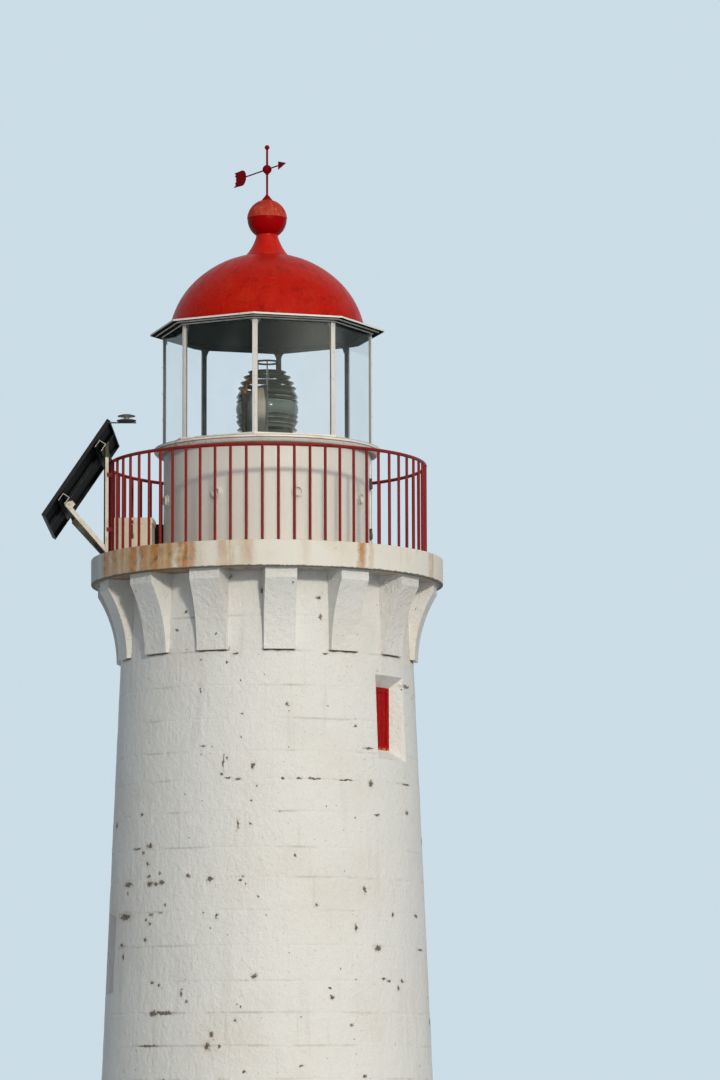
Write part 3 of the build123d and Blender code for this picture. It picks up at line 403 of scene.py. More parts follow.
def masonry_paint(name, places=(), use_joints=False, lumps=0.010):
    """Thick white paint over rough stone, with places where it has broken away."""
    s = Surface(name)
    flat = s.unrolled()
    colour = s.mottle(0.9, 0.48, 0.75, CLEAN_PAINT, WARM_PAINT)
    colour = s.mix(s.fade(s.noise(2.6, 5.0), 0.50, 0.72, 0.45), colour, GREY_PAINT)
    runs = s.noise(6.0, 3.0, at=s.vector("MULTIPLY", flat, (1.0, 0.10, 1.0)))
    colour = s.mix(s.fade(runs, 0.56, 0.78, 0.30), colour, (0.50, 0.44, 0.36))
    speckle = s.noise(95.0, 2.0)
    colour = s.mix(s.fade(speckle, 0.50, 0.74, 0.16), colour, (0.36, 0.33, 0.29))
    swirl = s.vector("SUBTRACT", s.noise_colour(34.0), (0.5, 0.5, 0.5))
    bent = s.vector("MULTIPLY_ADD", swirl, (0.045, 0.045, 0.045), s.place)
    pits = s.pits(8.0, 0.075, 0.42, at=bent)
    fine_pits = s.pits(24.0, 0.10, 0.45, at=bent)
    broken = s.larger(pits, s.times(fine_pits, 0.6))
    if places:
        ragged = s.times(s.less(s.noise(46.0, 4.0, 0.75), 0.5), 3.2)
        flat = s.vector("MULTIPLY_ADD", swirl, (0.055, 0.040, 0.0), flat)
        nearest = None
        for bearing, height, half_width, half_height in places:
            centre = (math.radians(bearing) * UNROLL_RADIUS, height)
            grow = (1.0 / half_width, 1.0 / half_height)
            shift = (-centre[0] * grow[0], -centre[1] * grow[1], 0.0)
            local = s.vector("MULTIPLY_ADD", flat, (grow[0], grow[1], 0.0), shift)
            distance = s.vector("LENGTH", local)
            nearest = distance if nearest is None else s.math("MINIMUM", nearest, distance)
        rim = s.total(nearest, ragged)
        eaten = s.scale(s.fade(s.noise(85.0, 3.0, 0.8), 0.40, 0.50), 0.25, 1.0)
        broken = s.larger(broken, s.times(s.fade(rim, 0.98, 0.74), eaten))
        colour = s.mix(s.fade(rim, 2.1, 1.0, 0.32), colour, (0.46, 0.35, 0.25))
    if use_joints:
        joint = s.node("ShaderNodeAttribute", attribute_name="joint").outputs["Fac"]
        worn = s.fade(s.noise(1.7, 4.0, 0.6), 0.47, 0.66)
        colour = s.mix(s.times(s.times(joint, worn), 0.45), colour, (0.30, 0.26, 0.22))
        # Painted shade with a little dirt: a dark band on the wall just under each corbel's foot.
        foot_shade_and_dirt = s.node("ShaderNodeAttribute", attribute_name="foot_shade_and_dirt").outputs["Fac"]
        colour = s.mix(foot_shade_and_dirt, colour, (0.09, 0.075, 0.06))
    stone = s.mix(s.noise(60.0, 3.0), BARE_STONE, (0.20, 0.155, 0.11))
    colour = s.mix(broken, colour, stone)
    ripple = s.times(s.noise(15.0, 3.0, 0.6), lumps)
    brushed = s.noise(30.0, 3.0, 0.6, at=s.vector("MULTIPLY", s.place, (1.0, 1.0, 0.6)))
    fine = s.total(s.times(brushed, 0.0058), s.times(s.noise(58.0, 3.0, 0.65), 0.0040))
    height = s.total(ripple, fine, s.times(s.noise(120.0, 2.0), 0.0006), s.times(broken, -0.008))
    return s.dress(colour, s.scale(broken, 0.62, 0.95), height)


def rust_colour(s):
    """Orange rust with dark brown blots."""
    rust = s.mix(s.noise(30.0, 4.0), (0.54, 0.245, 0.070), (0.37, 0.145, 0.036))
    return s.mix(s.fade(s.noise(13.0, 5.0, 0.7), 0.52, 0.66), rust, (0.190, 0.095, 0.038))


def gallery_stone():
    """Cream painted slab; rust runs down its edge from the feet of the railing."""
    s = Surface("gallery_stone")
    bearing = s.bearing()
    around = s.times(bearing, SLAB_RADIUS)
    radius = s.reach()
    colour = s.mottle(1.6, 0.46, 0.74, (0.745, 0.710, 0.645), (0.690, 0.625, 0.530))
    # Painted shade: the slab's far left side is turned a cool blue-grey.
    left_shade = s.fade(bearing, -0.95, -1.35)
    colour = s.mix(s.times(left_shade, 0.8), colour, (0.42, 0.47, 0.46))
    tan = s.times(s.fade(bearing, -1.22, -1.05), s.fade(bearing, -0.30, -0.52))
    tan = s.times(tan, s.fade(s.noise(7.0, 5.0, 0.65), 0.30, 0.52))
    colour = s.mix(s.times(tan, 0.80), colour, (0.520, 0.370, 0.205))
    thin = s.noise(14.0, 4.0, 0.6, at=s.join(around, 0.0, s.times(s.z, 0.10)))
    swirl = s.noise(11.0, 5.0, 0.65)
    present = None
    degrees = s.math("DEGREES", s.total(bearing, s.times(s.less(swirl, 0.5), 0.05)))
    for centre, half_width, strength in RUST_RUNS:
        away = s.apart(degrees, centre)
        run = s.times(s.fade(away, half_width * 1.5, half_width * 0.2), strength)
        present = run if present is None else s.larger(present, run)
    down = s.fade(s.z, WALL_TOP - 0.05, SLAB_TOP)
    vein = s.fade(s.total(thin, s.times(s.less(swirl, 0.5), 0.4)), 0.27, 0.52)
    rust = s.times(s.times(present, vein), s.scale(down, 0.72, 1.0))
    stray = s.times(s.fade(thin, 0.56, 0.76), s.times(s.scale(down, 0.1, 1.0), 0.40))
    turn = math.tau / BALUSTERS
    step = s.times(s.less(bearing, math.radians(FIRST_BALUSTER)), 1.0 / turn)
    from_bar = s.less(s.math("FRACT", s.total(step, 0.5)), 0.5)
    across = s.times(from_bar, turn * RAIL_RING_RADIUS)
    outwards = s.less(radius, RAIL_RING_RADIUS)
    foot = s.vector("LENGTH", s.join(across, s.times(outwards, 0.4), 0.0))
    foot = s.fade(s.total(foot, s.times(swirl, 0.03)), 0.055, 0.018, 0.75)
    rust = s.math("MINIMUM", s.total(rust, stray, foot), 1.0)
    colour = s.mix(rust, colour, rust_colour(s))
    # Painted shade with dirt and chips: the underside and a ragged band along the lower outer edge
    # turn dark brown.
    edge = s.total(s.z, s.times(s.noise(16.0, 4.0, 0.75), 0.036))
    edge = s.times(s.fade(edge, WALL_TOP + 0.036, WALL_TOP + 0.026), s.fade(radius, 1.70, 1.74))
    under = s.larger(s.times(edge, 0.9), s.fade(s.z, WALL_TOP + 0.002, WALL_TOP, 0.55))
    colour = s.mix(under, colour, (0.085, 0.062, 0.042))
    pits = s.pits(13.0, 0.07, 0.5)
    colour = s.mix(pits, colour, BARE_STONE)
    height = s.total(s.times(s.noise(12.0, 4.0, 0.6), 0.006), s.times(s.noise(48.0, 3.0), 0.0018),
                     s.times(pits, -0.005))
    return s.dress(colour, 0.7, height)


def iron_paint(name, colour, worn, roughness=0.42, rust=0.35, sheen=0.35):
    """Brushed paint on iron: faint runs, a worn second colour and rust freckles."""
    s = Surface(name)
    flat = s.unrolled()
    runs = s.noise(9.0, 4.0, at=s.vector("MULTIPLY", flat, (1.0, 0.08, 1.0)))
    shade = s.mix(s.fade(runs, 0.45, 0.78, 0.75), colour, worn)
    shade = s.mix(s.fade(s.noise(22.0, 4.0), 0.52, 0.75, 0.40), shade, worn)
    speck = s.pits(38.0, 0.16, 0.30)
    speck = s.times(speck, s.fade(s.noise(4.0, 3.0), 0.50, 0.60))
    shade = s.mix(s.times(speck, rust), shade, (0.22, 0.085, 0.032))
    dust = s.fade(s.noise(130.0, 2.0), 0.55, 0.75, 0.14)
    shade = s.mix(dust, shade, (0.20, 0.17, 0.14))
    strokes = s.noise(60.0, 3.0, at=s.vector("MULTIPLY", flat, (1.0, 0.12, 1.0)))
    height = s.total(s.times(strokes, 0.0006), s.times(s.noise(26.0, 3.0), 0.0012),
                     s.times(speck, -0.0006))
    gloss = s.scale(s.noise(18.0, 3.0), roughness - 0.10, roughness + 0.14)
    s.sheen(sheen)
    return s.dress(shade, gloss, height)


def bar_paint():
    """Cream paint on the glazing bars, with painted shade: their sides are darker, and inside the
    glass they are dark.
    """
    s = Surface("bar_paint")
    flat = s.unrolled()
    runs = s.noise(9.0, 4.0, at=s.vector("MULTIPLY", flat, (1.0, 0.10, 1.0)))
    colour = s.mix(s.fade(runs, 0.45, 0.78), (0.730, 0.700, 0.665), (0.660, 0.610, 0.560))
    speck = s.times(s.pits(34.0, 0.18, 0.35), s.fade(s.noise(4.0, 3.0), 0.46, 0.58))
    colour = s.mix(s.times(speck, 0.75), colour, (0.200, 0.085, 0.040))
    radius = s.reach()
    # Painted shade: the sides of each bar turn grey, and its inner part and inner faces turn near
    # black.
    inside = s.mix(s.noise(30.0, 3.0), (0.060, 0.078, 0.070), (0.034, 0.042, 0.038))
    colour = s.mix(s.fade(s.outwards(), 0.55, 0.35, 0.75), colour, (0.130, 0.125, 0.110))
    colour = s.mix(s.fade(radius, 1.0405, 1.0375), colour, inside)
    colour = s.mix(s.fade(s.outwards(), -0.2, -0.5), colour, inside)
    s.sheen(0.3)
    return s.dress(colour, 0.48, s.times(s.noise(60.0, 3.0), 0.0008))


def cornice_paint():
    """Cream paint on the cornice and kerb; thin dark brown lines lie along its fillets."""
    s = Surface("cornice_paint")
    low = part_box("cornice")[0].z
    lip = low + 0.040
    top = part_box("cornice")[1].z
    colour = s.mottle(7.0, 0.45, 0.72, (0.860, 0.800, 0.755), (0.730, 0.640, 0.570))
    ragged = s.total(s.z, s.times(s.noise(24.0, 4.0), 0.006))
    for fillet, strength in ((low, 0.85), (lip, 0.85), (top, 0.75)):
        line = s.fade(s.apart(ragged, fillet + 0.003), 0.009, 0.002, strength)
        colour = s.mix(line, colour, (0.165, 0.095, 0.060))
    left = s.fade(s.bearing(), -0.35, -0.75)
    left = s.times(left, s.fade(s.noise(17.0, 5.0, 0.7), 0.48, 0.62))
    colour = s.mix(s.times(left, 0.6), colour, (0.235, 0.140, 0.085))
    rust = s.pits(30.0, 0.18, 0.35)
    colour = s.mix(s.times(rust, 0.6), colour, (0.25, 0.10, 0.045))
    height = s.total(s.times(s.noise(40.0, 3.0), 0.0008), s.times(rust, -0.0006))
    return s.dress(colour, 0.5, height)


def dome_paint(name, colour, faded, share, roughness, sheen=0.05, hollow=False):
    """Red paint on dented sheet metal, faded by the weather; a hollow form gets painted shade, near
    black, on its inner faces.
    """
    s = Surface(name)
    shade = s.mix(s.fade(s.noise(2.4, 5.0, 0.6), 0.42, 0.72, share), colour, faded)
    streak = s.noise(7.0, 4.0, at=s.join(s.bearing(), 0.0, s.times(s.z, 0.25)))
    shade = s.mix(s.fade(streak, 0.50, 0.78, share * 0.7), shade, faded)
    dark = s.fade(s.noise(11.0, 5.0, 0.70), 0.50, 0.70, 0.55)
    shade = s.mix(dark, shade, tuple(0.42 * value for value in colour))
    bright = s.fade(s.noise(26.0, 4.0, 0.70), 0.56, 0.72, 0.5 * share)
    shade = s.mix(bright, shade, (min(1.0, 1.35 * faded[0]), 2.2 * faded[1], 1.8 * faded[2]))
    chips = s.pits(16.0, 0.07, 0.35)
    shade = s.mix(chips, shade, (0.035, 0.012, 0.010))
    # Painted shade: faces that look towards the tower's axis are made near black.
    if hollow:
        shade = s.mix(s.fade(s.outwards(), -0.15, -0.30), shade, (0.012, 0.015, 0.013))
    dents = s.total(s.times(s.noise(5.0, 3.0), 0.010), s.times(s.noise(16.0, 3.0), 0.0022),
                    s.times(s.noise(45.0, 3.0), 0.0010))
    s.sheen(sheen)
    return s.dress(shade, s.scale(s.noise(12.0), roughness - 0.08, roughness + 0.12), dents)


def eave_paint():
    """Pale fascias, painted paler than the lip to stand in for light under its shadow, with painted
    shade on their undersides and inside the glass.
    """
    s = Surface("eave_paint")
    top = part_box("eave")[1].z
    lip = s.fade(s.z, top - 0.0195, top - 0.0185)
    # Painted light with patches of wear: the lower fascias are made near white, paler than the lip, to
    # stand in for the light its shadow keeps from them.
    worn = s.mottle(8.0, 0.40, 0.70, (0.880, 0.840, 0.780), (0.700, 0.640, 0.560))
    colour = s.mix(lip, worn, (0.780, 0.755, 0.700))
    rust = s.pits(26.0, 0.20, 0.40)
    colour = s.mix(s.times(rust, 0.5), colour, (0.16, 0.065, 0.030))
    # Painted shade: the undersides and the faces inside the glass turn near black.
    under = s.fade(s.facing(UP), -0.4, -0.7)
    dark = s.mix(s.noise(20.0, 3.0), (0.030, 0.036, 0.030), (0.014, 0.019, 0.017))
    colour = s.mix(under, colour, dark)
    colour = s.mix(s.fade(s.outwards(), -0.2, -0.5), colour, dark)
    s.sheen(0.0)
    return s.dress(colour, 0.9, s.times(s.noise(40.0, 3.0), 0.0008))


def window_glass():
    """Clear pane: it shows as a mirror by its Fresnel share, with a thin salt haze over it."""
    s = Surface("window_glass")
    facing = s.nodes.new("ShaderNodeLayerWeight").outputs["Facing"]
    edge = s.total(s.times(s.math("POWER", facing, 5.0), 0.45), 0.012)
    haze = s.fade(s.noise(3.0, 4.0), 0.40, 0.75, 0.020)
    weather = s.times(s.fade(s.bearing(), 0.0, 0.5), s.fade(s.bearing(), 1.0, 0.6))
    haze = s.total(haze, s.times(weather, 0.055), 0.003)
    share = s.total(edge, haze)
    s.feed(s.shader.inputs["Alpha"], s.math("MINIMUM", share, 1.0))
    s.sheen(0.0)
    s.material.surface_render_method = "BLENDED"
    mirror = s.math("DIVIDE", edge, share)
    return s.dress((0.66, 0.68, 0.64), 0.05, s.times(s.noise(2.0, 2.0), 0.0010), mirror)


def prism_glass():
    """Old greenish glass of the lens: a paler belt, dark rims, thin dark lines of painted shade where
    its rings meet and thin bright lines of painted glints.
    """
    s = Surface("prism_glass")
    s.shader.inputs["Transmission Weight"].default_value = 0.06
    s.shader.inputs["IOR"].default_value = 1.50
    above = s.less(s.z, LENS_FOCUS)
    away = s.math("ABSOLUTE", above)
    high = s.fade(above, -0.02, 0.06)
    tint = s.mix(high, (0.088, 0.108, 0.088), (0.048, 0.058, 0.042))
    tint = s.mix(s.fade(away, 0.076, 0.070), tint, (0.120, 0.165, 0.148))
    tint = s.mix(s.fade(s.noise(9.0, 3.0), 0.42, 0.70, 0.5), tint, (0.055, 0.062, 0.048))
    rim = s.fade(s.reach(), 0.296, 0.306)
    rim = s.times(rim, s.fade(away, 0.070, 0.076, 0.75))
    tint = s.mix(rim, tint, (0.022, 0.028, 0.024))
    # Painted shade: thin dark lines where the rings meet.
    for level in (0.0725, 0.1240, 0.1755):
        line = s.fade(s.apart(away, level), 0.0055, 0.0020, 0.9)
        tint = s.mix(line, tint, (0.008, 0.010, 0.008))
    # Painted highlights: thin bright glints just inside each joint, broken up by noise.
    for level in (0.0640, 0.1120, 0.1640):
        line = s.fade(s.apart(away, level), 0.0042, 0.0014, 0.8)
        line = s.times(line, s.fade(s.noise(11.0, 4.0, 0.7), 0.42, 0.58))
        tint = s.mix(line, tint, (0.420, 0.480, 0.440))
    bearing = s.bearing()
    patch = s.times(s.fade(bearing, -1.12, -1.00), s.fade(bearing, -0.62, -0.74))
    patch = s.times(patch, s.times(s.fade(above, 0.04, 0.10), s.fade(above, 0.32, 0.26)))
    patch = s.times(patch, s.fade(s.noise(34.0, 5.0, 0.75), 0.46, 0.54))
    tint = s.mix(patch, tint, (0.290, 0.105, 0.034))
    s.sheen(0.28)
    return s.dress(tint, s.scale(s.noise(30.0), 0.05, 0.20), s.times(s.noise(24.0, 2.0), 0.0012))


def gunmetal():
    """Dull dark metal of the lens's frame, green in places, rusty at the screen."""
    s = Surface("gunmetal")
    colour = s.mottle(14.0, 0.40, 0.65, (0.052, 0.046, 0.032), (0.028, 0.028, 0.021))
    green = s.fade(s.noise(30.0, 4.0), 0.58, 0.72, 0.6)
    colour = s.mix(green, colour, (0.05, 0.08, 0.06))
    rusty = s.times(s.fade(s.x, -0.16, -0.20), s.fade(s.z, LENS_FOCUS + 0.13, LENS_FOCUS + 0.17))
    rusty = s.times(rusty, s.fade(s.noise(40.0, 4.0, 0.7), 0.46, 0.54))
    colour = s.mix(rusty, colour, (0.330, 0.140, 0.050))
    s.sheen(0.1)
    gloss = s.scale(s.noise(25.0), 0.34, 0.58)
    return s.dress(colour, gloss, s.times(s.noise(70.0, 3.0), 0.0006), 0.15)


def satin_sheet():
    """Pale metal sheet, brushed round, with dull patches; painted shade darkens its left side and its
    lower part.
    """
    s = Surface("satin_sheet")
    brushed = s.noise(30.0, 3.0, at=s.vector("MULTIPLY", s.unrolled(), (4.0, 0.10, 1.0)))
    colour = s.mix(s.fade(brushed, 0.40, 0.65), (0.520, 0.460, 0.365), (0.400, 0.345, 0.270))
    dull = s.fade(s.noise(6.0, 4.0), 0.45, 0.70)
    # Painted shade: the screen's left side turns dark grey-green, and its lower part darker still.
    away = s.fade(s.x, -0.11, -0.18)
    colour = s.mix(away, colour, s.mix(dull, (0.105, 0.118, 0.106), (0.075, 0.085, 0.075)))
    low = s.fade(s.total(s.z, s.times(dull, 0.03)), LENS_FOCUS - 0.03, LENS_FOCUS - 0.17)
    colour = s.mix(s.times(low, 0.8), colour, (0.030, 0.045, 0.038))
    s.sheen(0.3)
    return s.dress(colour, s.scale(dull, 0.30, 0.50), s.times(brushed, 0.0003), 0.25)


def array_axes():
    """Unit vectors across the modules, up their slope, and out of their glass."""
    yaw, dip, tilt = (math.radians(angle) for angle in (ARRAY_YAW, ARRAY_DIP, ARRAY_TILT))
    along = Vector((math.sin(yaw) * math.cos(dip), math.cos(yaw) * math.cos(dip), -math.sin(dip)))
    slope = Vector((math.cos(tilt), 0.0, math.sin(tilt)))
    normal = slope.cross(along).normalized()
    across = -along.normalized()
    return across, normal.cross(across).normalized(), normal


def solar_cells():
    """Dark cells in a grid, with pale gaps and fine wires."""
    s = Surface("solar_cells")
    across, up, out = array_axes()
    away = s.vector("SUBTRACT", s.place, ARRAY_CENTRE)
    u = s.vector("DOT_PRODUCT", away, tuple(across))
    v = s.vector("DOT_PRODUCT", away, tuple(up))
    half_step = (MODULE_WIDTH + MODULE_GAP) / 2
    u_in = s.less(s.math("ABSOLUTE", u), half_step)
    lines = []
    for value, start in ((u_in, 1.0), (v, 0.5)):
        place = s.total(s.times(value, 1.0 / CELL_SIZE), start)
        middle = s.apart(s.math("FRACT", place), 0.5)
        lines.append(s.fade(middle, 0.484, 0.490))
    wires = s.math("FRACT", s.total(s.times(u_in, 3.0 / CELL_SIZE), 0.5))
    wire = s.fade(s.apart(wires, 0.5), 0.032, 0.018)
    colour = s.mix(s.noise(14.0, 2.0), (0.006, 0.010, 0.020), (0.010, 0.016, 0.030))
    colour = s.mix(s.times(wire, 0.45), colour, (0.16, 0.18, 0.20))
    colour = s.mix(s.larger(lines[0], lines[1]), colour, (0.17, 0.20, 0.215))
    dirt = s.fade(s.noise(5.0, 4.0), 0.50, 0.75, 0.05)
    colour = s.mix(dirt, colour, (0.4, 0.4, 0.38))
    glass = s.fade(s.facing(tuple(out)), -0.2, 0.2)
    back = s.mix(s.times(lines[0], 0.5), (0.0022, 0.0036, 0.0042), (0.014, 0.018, 0.020))
    colour = s.mix(glass, back, colour)
    s.sheen(s.scale(glass, 0.04, 0.5))
    s.feed(s.shader.inputs["Coat Weight"], s.times(glass, 0.4))
    return s.dress(colour, s.scale(glass, 0.6, 0.22), s.times(s.noise(30.0), 0.0002))


def channel_iron():
    """Dark painted channels with pale ends where they were cut."""
    s = Surface("channel_iron")
    across, _, _ = array_axes()
    ends = s.fade(s.math("ABSOLUTE", s.facing(tuple(across))), 0.85, 0.95)
    colour = s.mottle(12.0, 0.40, 0.65, (0.020, 0.021, 0.020), (0.038, 0.036, 0.032))
    bare = s.fade(s.noise(60.0, 3.0), 0.40, 0.70)
    colour = s.mix(ends, colour, s.mix(bare, (0.560, 0.510, 0.455), (0.400, 0.340, 0.280)))
    s.sheen(0.15)
    return s.dress(colour, 0.55, s.times(s.noise(50.0, 3.0), 0.0005))


def sensor_shell():
    """Dark moulded rims with a pale band between the disc and its cap."""
    s = Surface("sensor_shell")
    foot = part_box("array_sensor")[1].z - SENSOR_HEIGHT
    level = s.less(s.z, foot)
    band = s.times(s.fade(level, 0.0285, 0.0305), s.fade(level, 0.058, 0.056))
    dark = s.mix(s.noise(26.0, 4.0), (0.040, 0.038, 0.036), (0.070, 0.066, 0.060))
    pale = s.mix(s.noise(20.0, 3.0), (0.560, 0.555, 0.520), (0.450, 0.440, 0.400))
    colour = s.mix(band, dark, pale)
    s.sheen(0.3)
    return s.dress(colour, 0.5, s.times(s.noise(120.0, 2.0), 0.0003))


def plain_metal(name, colour, worn, roughness, metallic, rust=0.0, sheen=0.5):
    """Weathered metal: blotches, fine scratches and rust if it has any."""
    s = Surface(name)
    shade = s.mottle(12.0, 0.38, 0.68, colour, worn)
    spangle = s.split(s.cells(60.0)["Color"])[0]
    shade = s.mix(s.times(spangle, 0.18), shade, tuple(1.25 * value for value in colour))
    rusty = s.times(s.fade(s.noise(9.0, 5.0, 0.65), 0.60, 0.70), rust)
    shade = s.mix(rusty, shade, (0.20, 0.085, 0.040))
    gloss = s.scale(s.noise(35.0), roughness - 0.08, roughness + 0.12)
    height = s.total(s.times(s.noise(50.0, 3.0), 0.0006), s.times(rusty, 0.0004))
    s.sheen(sheen)
    return s.dress(shade, gloss, height, metallic)


def post_metal():
    """Bare metal posts: painted shade in dark olive on the face away from the light, and dark olive
    where they pass the channels.
    """
    s = Surface("post_metal")
    colour = s.mottle(12.0, 0.38, 0.68, (0.700, 0.630, 0.560), (0.580, 0.500, 0.430))
    dark = s.mix(s.noise(24.0, 3.0), (0.046, 0.046, 0.030), (0.080, 0.068, 0.044))
    ragged = s.total(s.z, s.times(s.noise(60.0, 3.0), 0.03))
    # Painted shade on the face turned away from the light; above a set height, where the posts pass
    # the channels, they are dark too.
    shaded = s.fade(s.facing((-1.0, 0.0, 0.0)), 0.45, 0.75)
    darkened = s.larger(shaded, s.fade(ragged, POST_DARK_HEIGHT, POST_DARK_HEIGHT + 0.020))
    colour = s.mix(darkened, colour, dark)
    s.sheen(0.2)
    return s.dress(colour, 0.5, s.times(s.noise(50.0, 3.0), 0.0006))


def strut_metal():
    """Pale angle iron; painted shade turns the far strut and the undersides dark olive."""
    s = Surface("strut_metal")
    colour = s.mottle(14.0, 0.38, 0.68, (0.690, 0.620, 0.550), (0.560, 0.480, 0.410))
    dark = s.mix(s.noise(24.0, 3.0), (0.046, 0.046, 0.028), (0.075, 0.068, 0.040))
    # Painted shade: the downward faces and the far strut turn dark olive.
    darkened = s.larger(s.fade(s.facing((0.0, 0.0, -1.0)), 0.25, 0.55), s.fade(s.y, -0.1, 0.1))
    colour = s.mix(darkened, colour, dark)
    s.sheen(0.2)
    return s.dress(colour, 0.5, s.times(s.noise(50.0, 3.0), 0.0006))


def plastic(name, colour, roughness):
    """Moulded plastic with a fine grain, dusty on its upper faces."""
    s = Surface(name)
    dust = s.times(s.fade(s.facing(UP), 0.3, 0.95), s.scale(s.noise(8.0, 4.0), 0.10, 0.45))
    shade = s.mix(dust, colour, (0.30, 0.29, 0.27))
    scuffs = s.fade(s.noise(26.0, 4.0), 0.58, 0.74, 0.35)
    shade = s.mix(scuffs, shade, tuple(min(1.0, 2.0 * value + 0.02) for value in colour))
    gloss = s.scale(scuffs, roughness, roughness + 0.2)
    return s.dress(shade, gloss, s.times(s.noise(220.0, 2.0), 0.0003))


def window_boards():
    """Deep red paint on upright boards, peeled along the sill and one edge of each window."""
    s = Surface("window_boards")
    grain = s.noise(60.0, 4.0, at=s.vector("MULTIPLY", s.place, (1.0, 1.0, 0.06)))
    colour = s.mix(s.fade(grain, 0.40, 0.70), (0.355, 0.0045, 0.0050), (0.270, 0.0035, 0.0040))
    worn = s.fade(s.noise(34.0, 4.0), 0.54, 0.68, 0.55)
    colour = s.mix(worn, colour, (0.420, 0.040, 0.018))
    ragged = s.times(s.less(s.noise(40.0, 4.0, 0.7), 0.5), 0.06)
    peeled = 0.0
    for bearing, sill in WINDOWS:
        low = sill + WINDOW_SILL_RISE
        outward, side = directions(math.radians(bearing))
        centre = outward * (wall_radius(low) - WINDOW_SET_BACK)
        along = s.vector("DOT_PRODUCT", s.vector("SUBTRACT", s.place, tuple(centre)), tuple(side))
        edge = s.fade(s.total(along, ragged), -0.138, -0.158)
        sill_edge = s.fade(s.total(s.z, ragged), low + 0.035, low + 0.010)
        here = s.times(s.fade(s.z, low - 0.15, low - 0.10), s.fade(s.z, low + 0.75, low + 0.70))
        peeled = s.larger(peeled, s.times(here, s.larger(edge, sill_edge)))
    peeled = s.times(peeled, s.fade(s.noise(22.0, 3.0), 0.40, 0.52))
    colour = s.mix(s.times(peeled, 0.8), colour, (0.560, 0.230, 0.055))
    s.sheen(0.03)
    return s.dress(colour, s.scale(worn, 0.35, 0.55), s.times(grain, 0.0010))


def floor_stone():
    """Worn paving stone."""
    s = Surface("floor_stone")
    colour = s.mix(s.noise(5.0, 5.0), (0.30, 0.285, 0.26), (0.40, 0.385, 0.36))
    colour = s.mix(s.pits(30.0, 0.2, 0.5), colour, (0.16, 0.15, 0.14))
    return s.dress(colour, 0.8, s.times(s.noise(20.0, 4.0), 0.004))


# Mesh helpers


def add_object(name, data):
    """Object with its data, put in the scene."""
    made = bpy.data.objects.new(name, data)
    bpy.context.scene.collection.objects.link(made)
    return made


def new_piece(name, vertices, faces, material, is_smooth=True, body="tower"):
    mesh = bpy.data.meshes.new(name)
    mesh.from_pydata([tuple(vertex) for vertex in vertices], [], faces)
    mesh.materials.append(material)
    mesh.polygons.foreach_set("use_smooth", [is_smooth] * len(mesh.polygons))
    mesh.update()
    piece = add_object(name, mesh)
    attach(piece, body)
    return piece


class Shell:
    """Vertices and faces gathered for one piece, with a few numbers kept for each vertex."""

    def __init__(self):
        self.vertices = []
        self.faces = []
        self.joint = []
        self.foot_shade_and_dirt = []

    def add(self, point, joint=0.0, foot_shade_and_dirt=0.0):
        self.vertices.append(tuple(point))
        self.joint.append(joint)
        self.foot_shade_and_dirt.append(foot_shade_and_dirt)
        return len(self.vertices) - 1

    def grid(self, rows, columns, point):
        """Sheet of rows by columns; point(row, column) gives each vertex."""
        index = [[self.add(point(row, column)) for column in range(columns)] for row in range(rows)]
        for row in range(rows - 1):
            for column in range(columns - 1):
                self.faces.append((index[row][column], index[row][column + 1],
                                   index[row + 1][column + 1], index[row + 1][column]))

    def piece(self, name, material, slot):
        made = new_piece(name, self.vertices, self.faces, material)
        for key, values in (("joint", self.joint), ("foot_shade_and_dirt", self.foot_shade_and_dirt)):
            attribute = made.data.attributes.new(key, "FLOAT", "POINT")
            attribute.data.foreach_set("value", values)
        return made


# Tower wall: each stone is its own patch of the face, sunk a little at its joints


def stone_lines(low, high, cell):
    """Grid lines of one stone: close together at its edges, a cell apart between them."""
    edge = (0.0, 0.005, 0.011, 0.020)
    inner_low = low + edge[-1]
    inner_high = high - edge[-1]
    count = max(1, round((inner_high - inner_low) / cell))
    inner = [inner_low + (inner_high - inner_low) * index / count for index in range(count + 1)]
    return [low + step for step in edge[:-1]] + inner + [high - step for step in edge[-2::-1]]


def window_span(window):
    """Half angle and heights of an embrasure on the face of the wall."""
    _, sill = window
    radius = wall_radius(sill + EMBRASURE_HEIGHT / 2)
    return math.asin(EMBRASURE_WIDTH / 2 / radius), sill, sill + EMBRASURE_HEIGHT


def angle_between(bearing, other):
    """Signed difference of two bearings in radians, from -pi to pi."""
    return (bearing - other + math.pi) % math.tau - math.pi


def door_distance(bearing, height):
    """Metres outside the doorway's outline, negative inside it."""
    turn = angle_between(bearing, math.radians(DOOR_BEARING))
    if abs(turn) > math.pi / 2:
        return 9.0
    y = wall_radius(height) * math.sin(turn)
    if height > DOOR_SPRING:
        return math.hypot(y, height - DOOR_SPRING) - DOOR_HALF_WIDTH
    return max(abs(y) - DOOR_HALF_WIDTH, FLOOR_TOP - height)


def window_distance(bearing, height, window):
    """Metres outside the embrasure's outline, negative inside it."""
    half_angle, low, high = window_span(window)
    turn = abs(angle_between(bearing, math.radians(window[0])))
    return max((turn - half_angle) * wall_radius(height), low - height, height - high)


def opening_distance(bearing, height):
    """Metres outside the nearest opening, negative inside it."""
    windows = [window_distance(bearing, height, window) for window in WINDOWS]
    return min(door_distance(bearing, height), *windows)


def snap_to_door(bearing, height):
    """Nearest point of the doorway's outline, as bearing and height."""
    middle = math.radians(DOOR_BEARING)
    y = wall_radius(height) * math.sin(angle_between(bearing, middle))
    if height > DOOR_SPRING:
        reach = math.hypot(y, height - DOOR_SPRING) / DOOR_HALF_WIDTH
        y, height = y / reach, DOOR_SPRING + (height - DOOR_SPRING) / reach
    else:
        y = math.copysign(DOOR_HALF_WIDTH, y)
    return middle + math.asin(y / wall_radius(height)), height


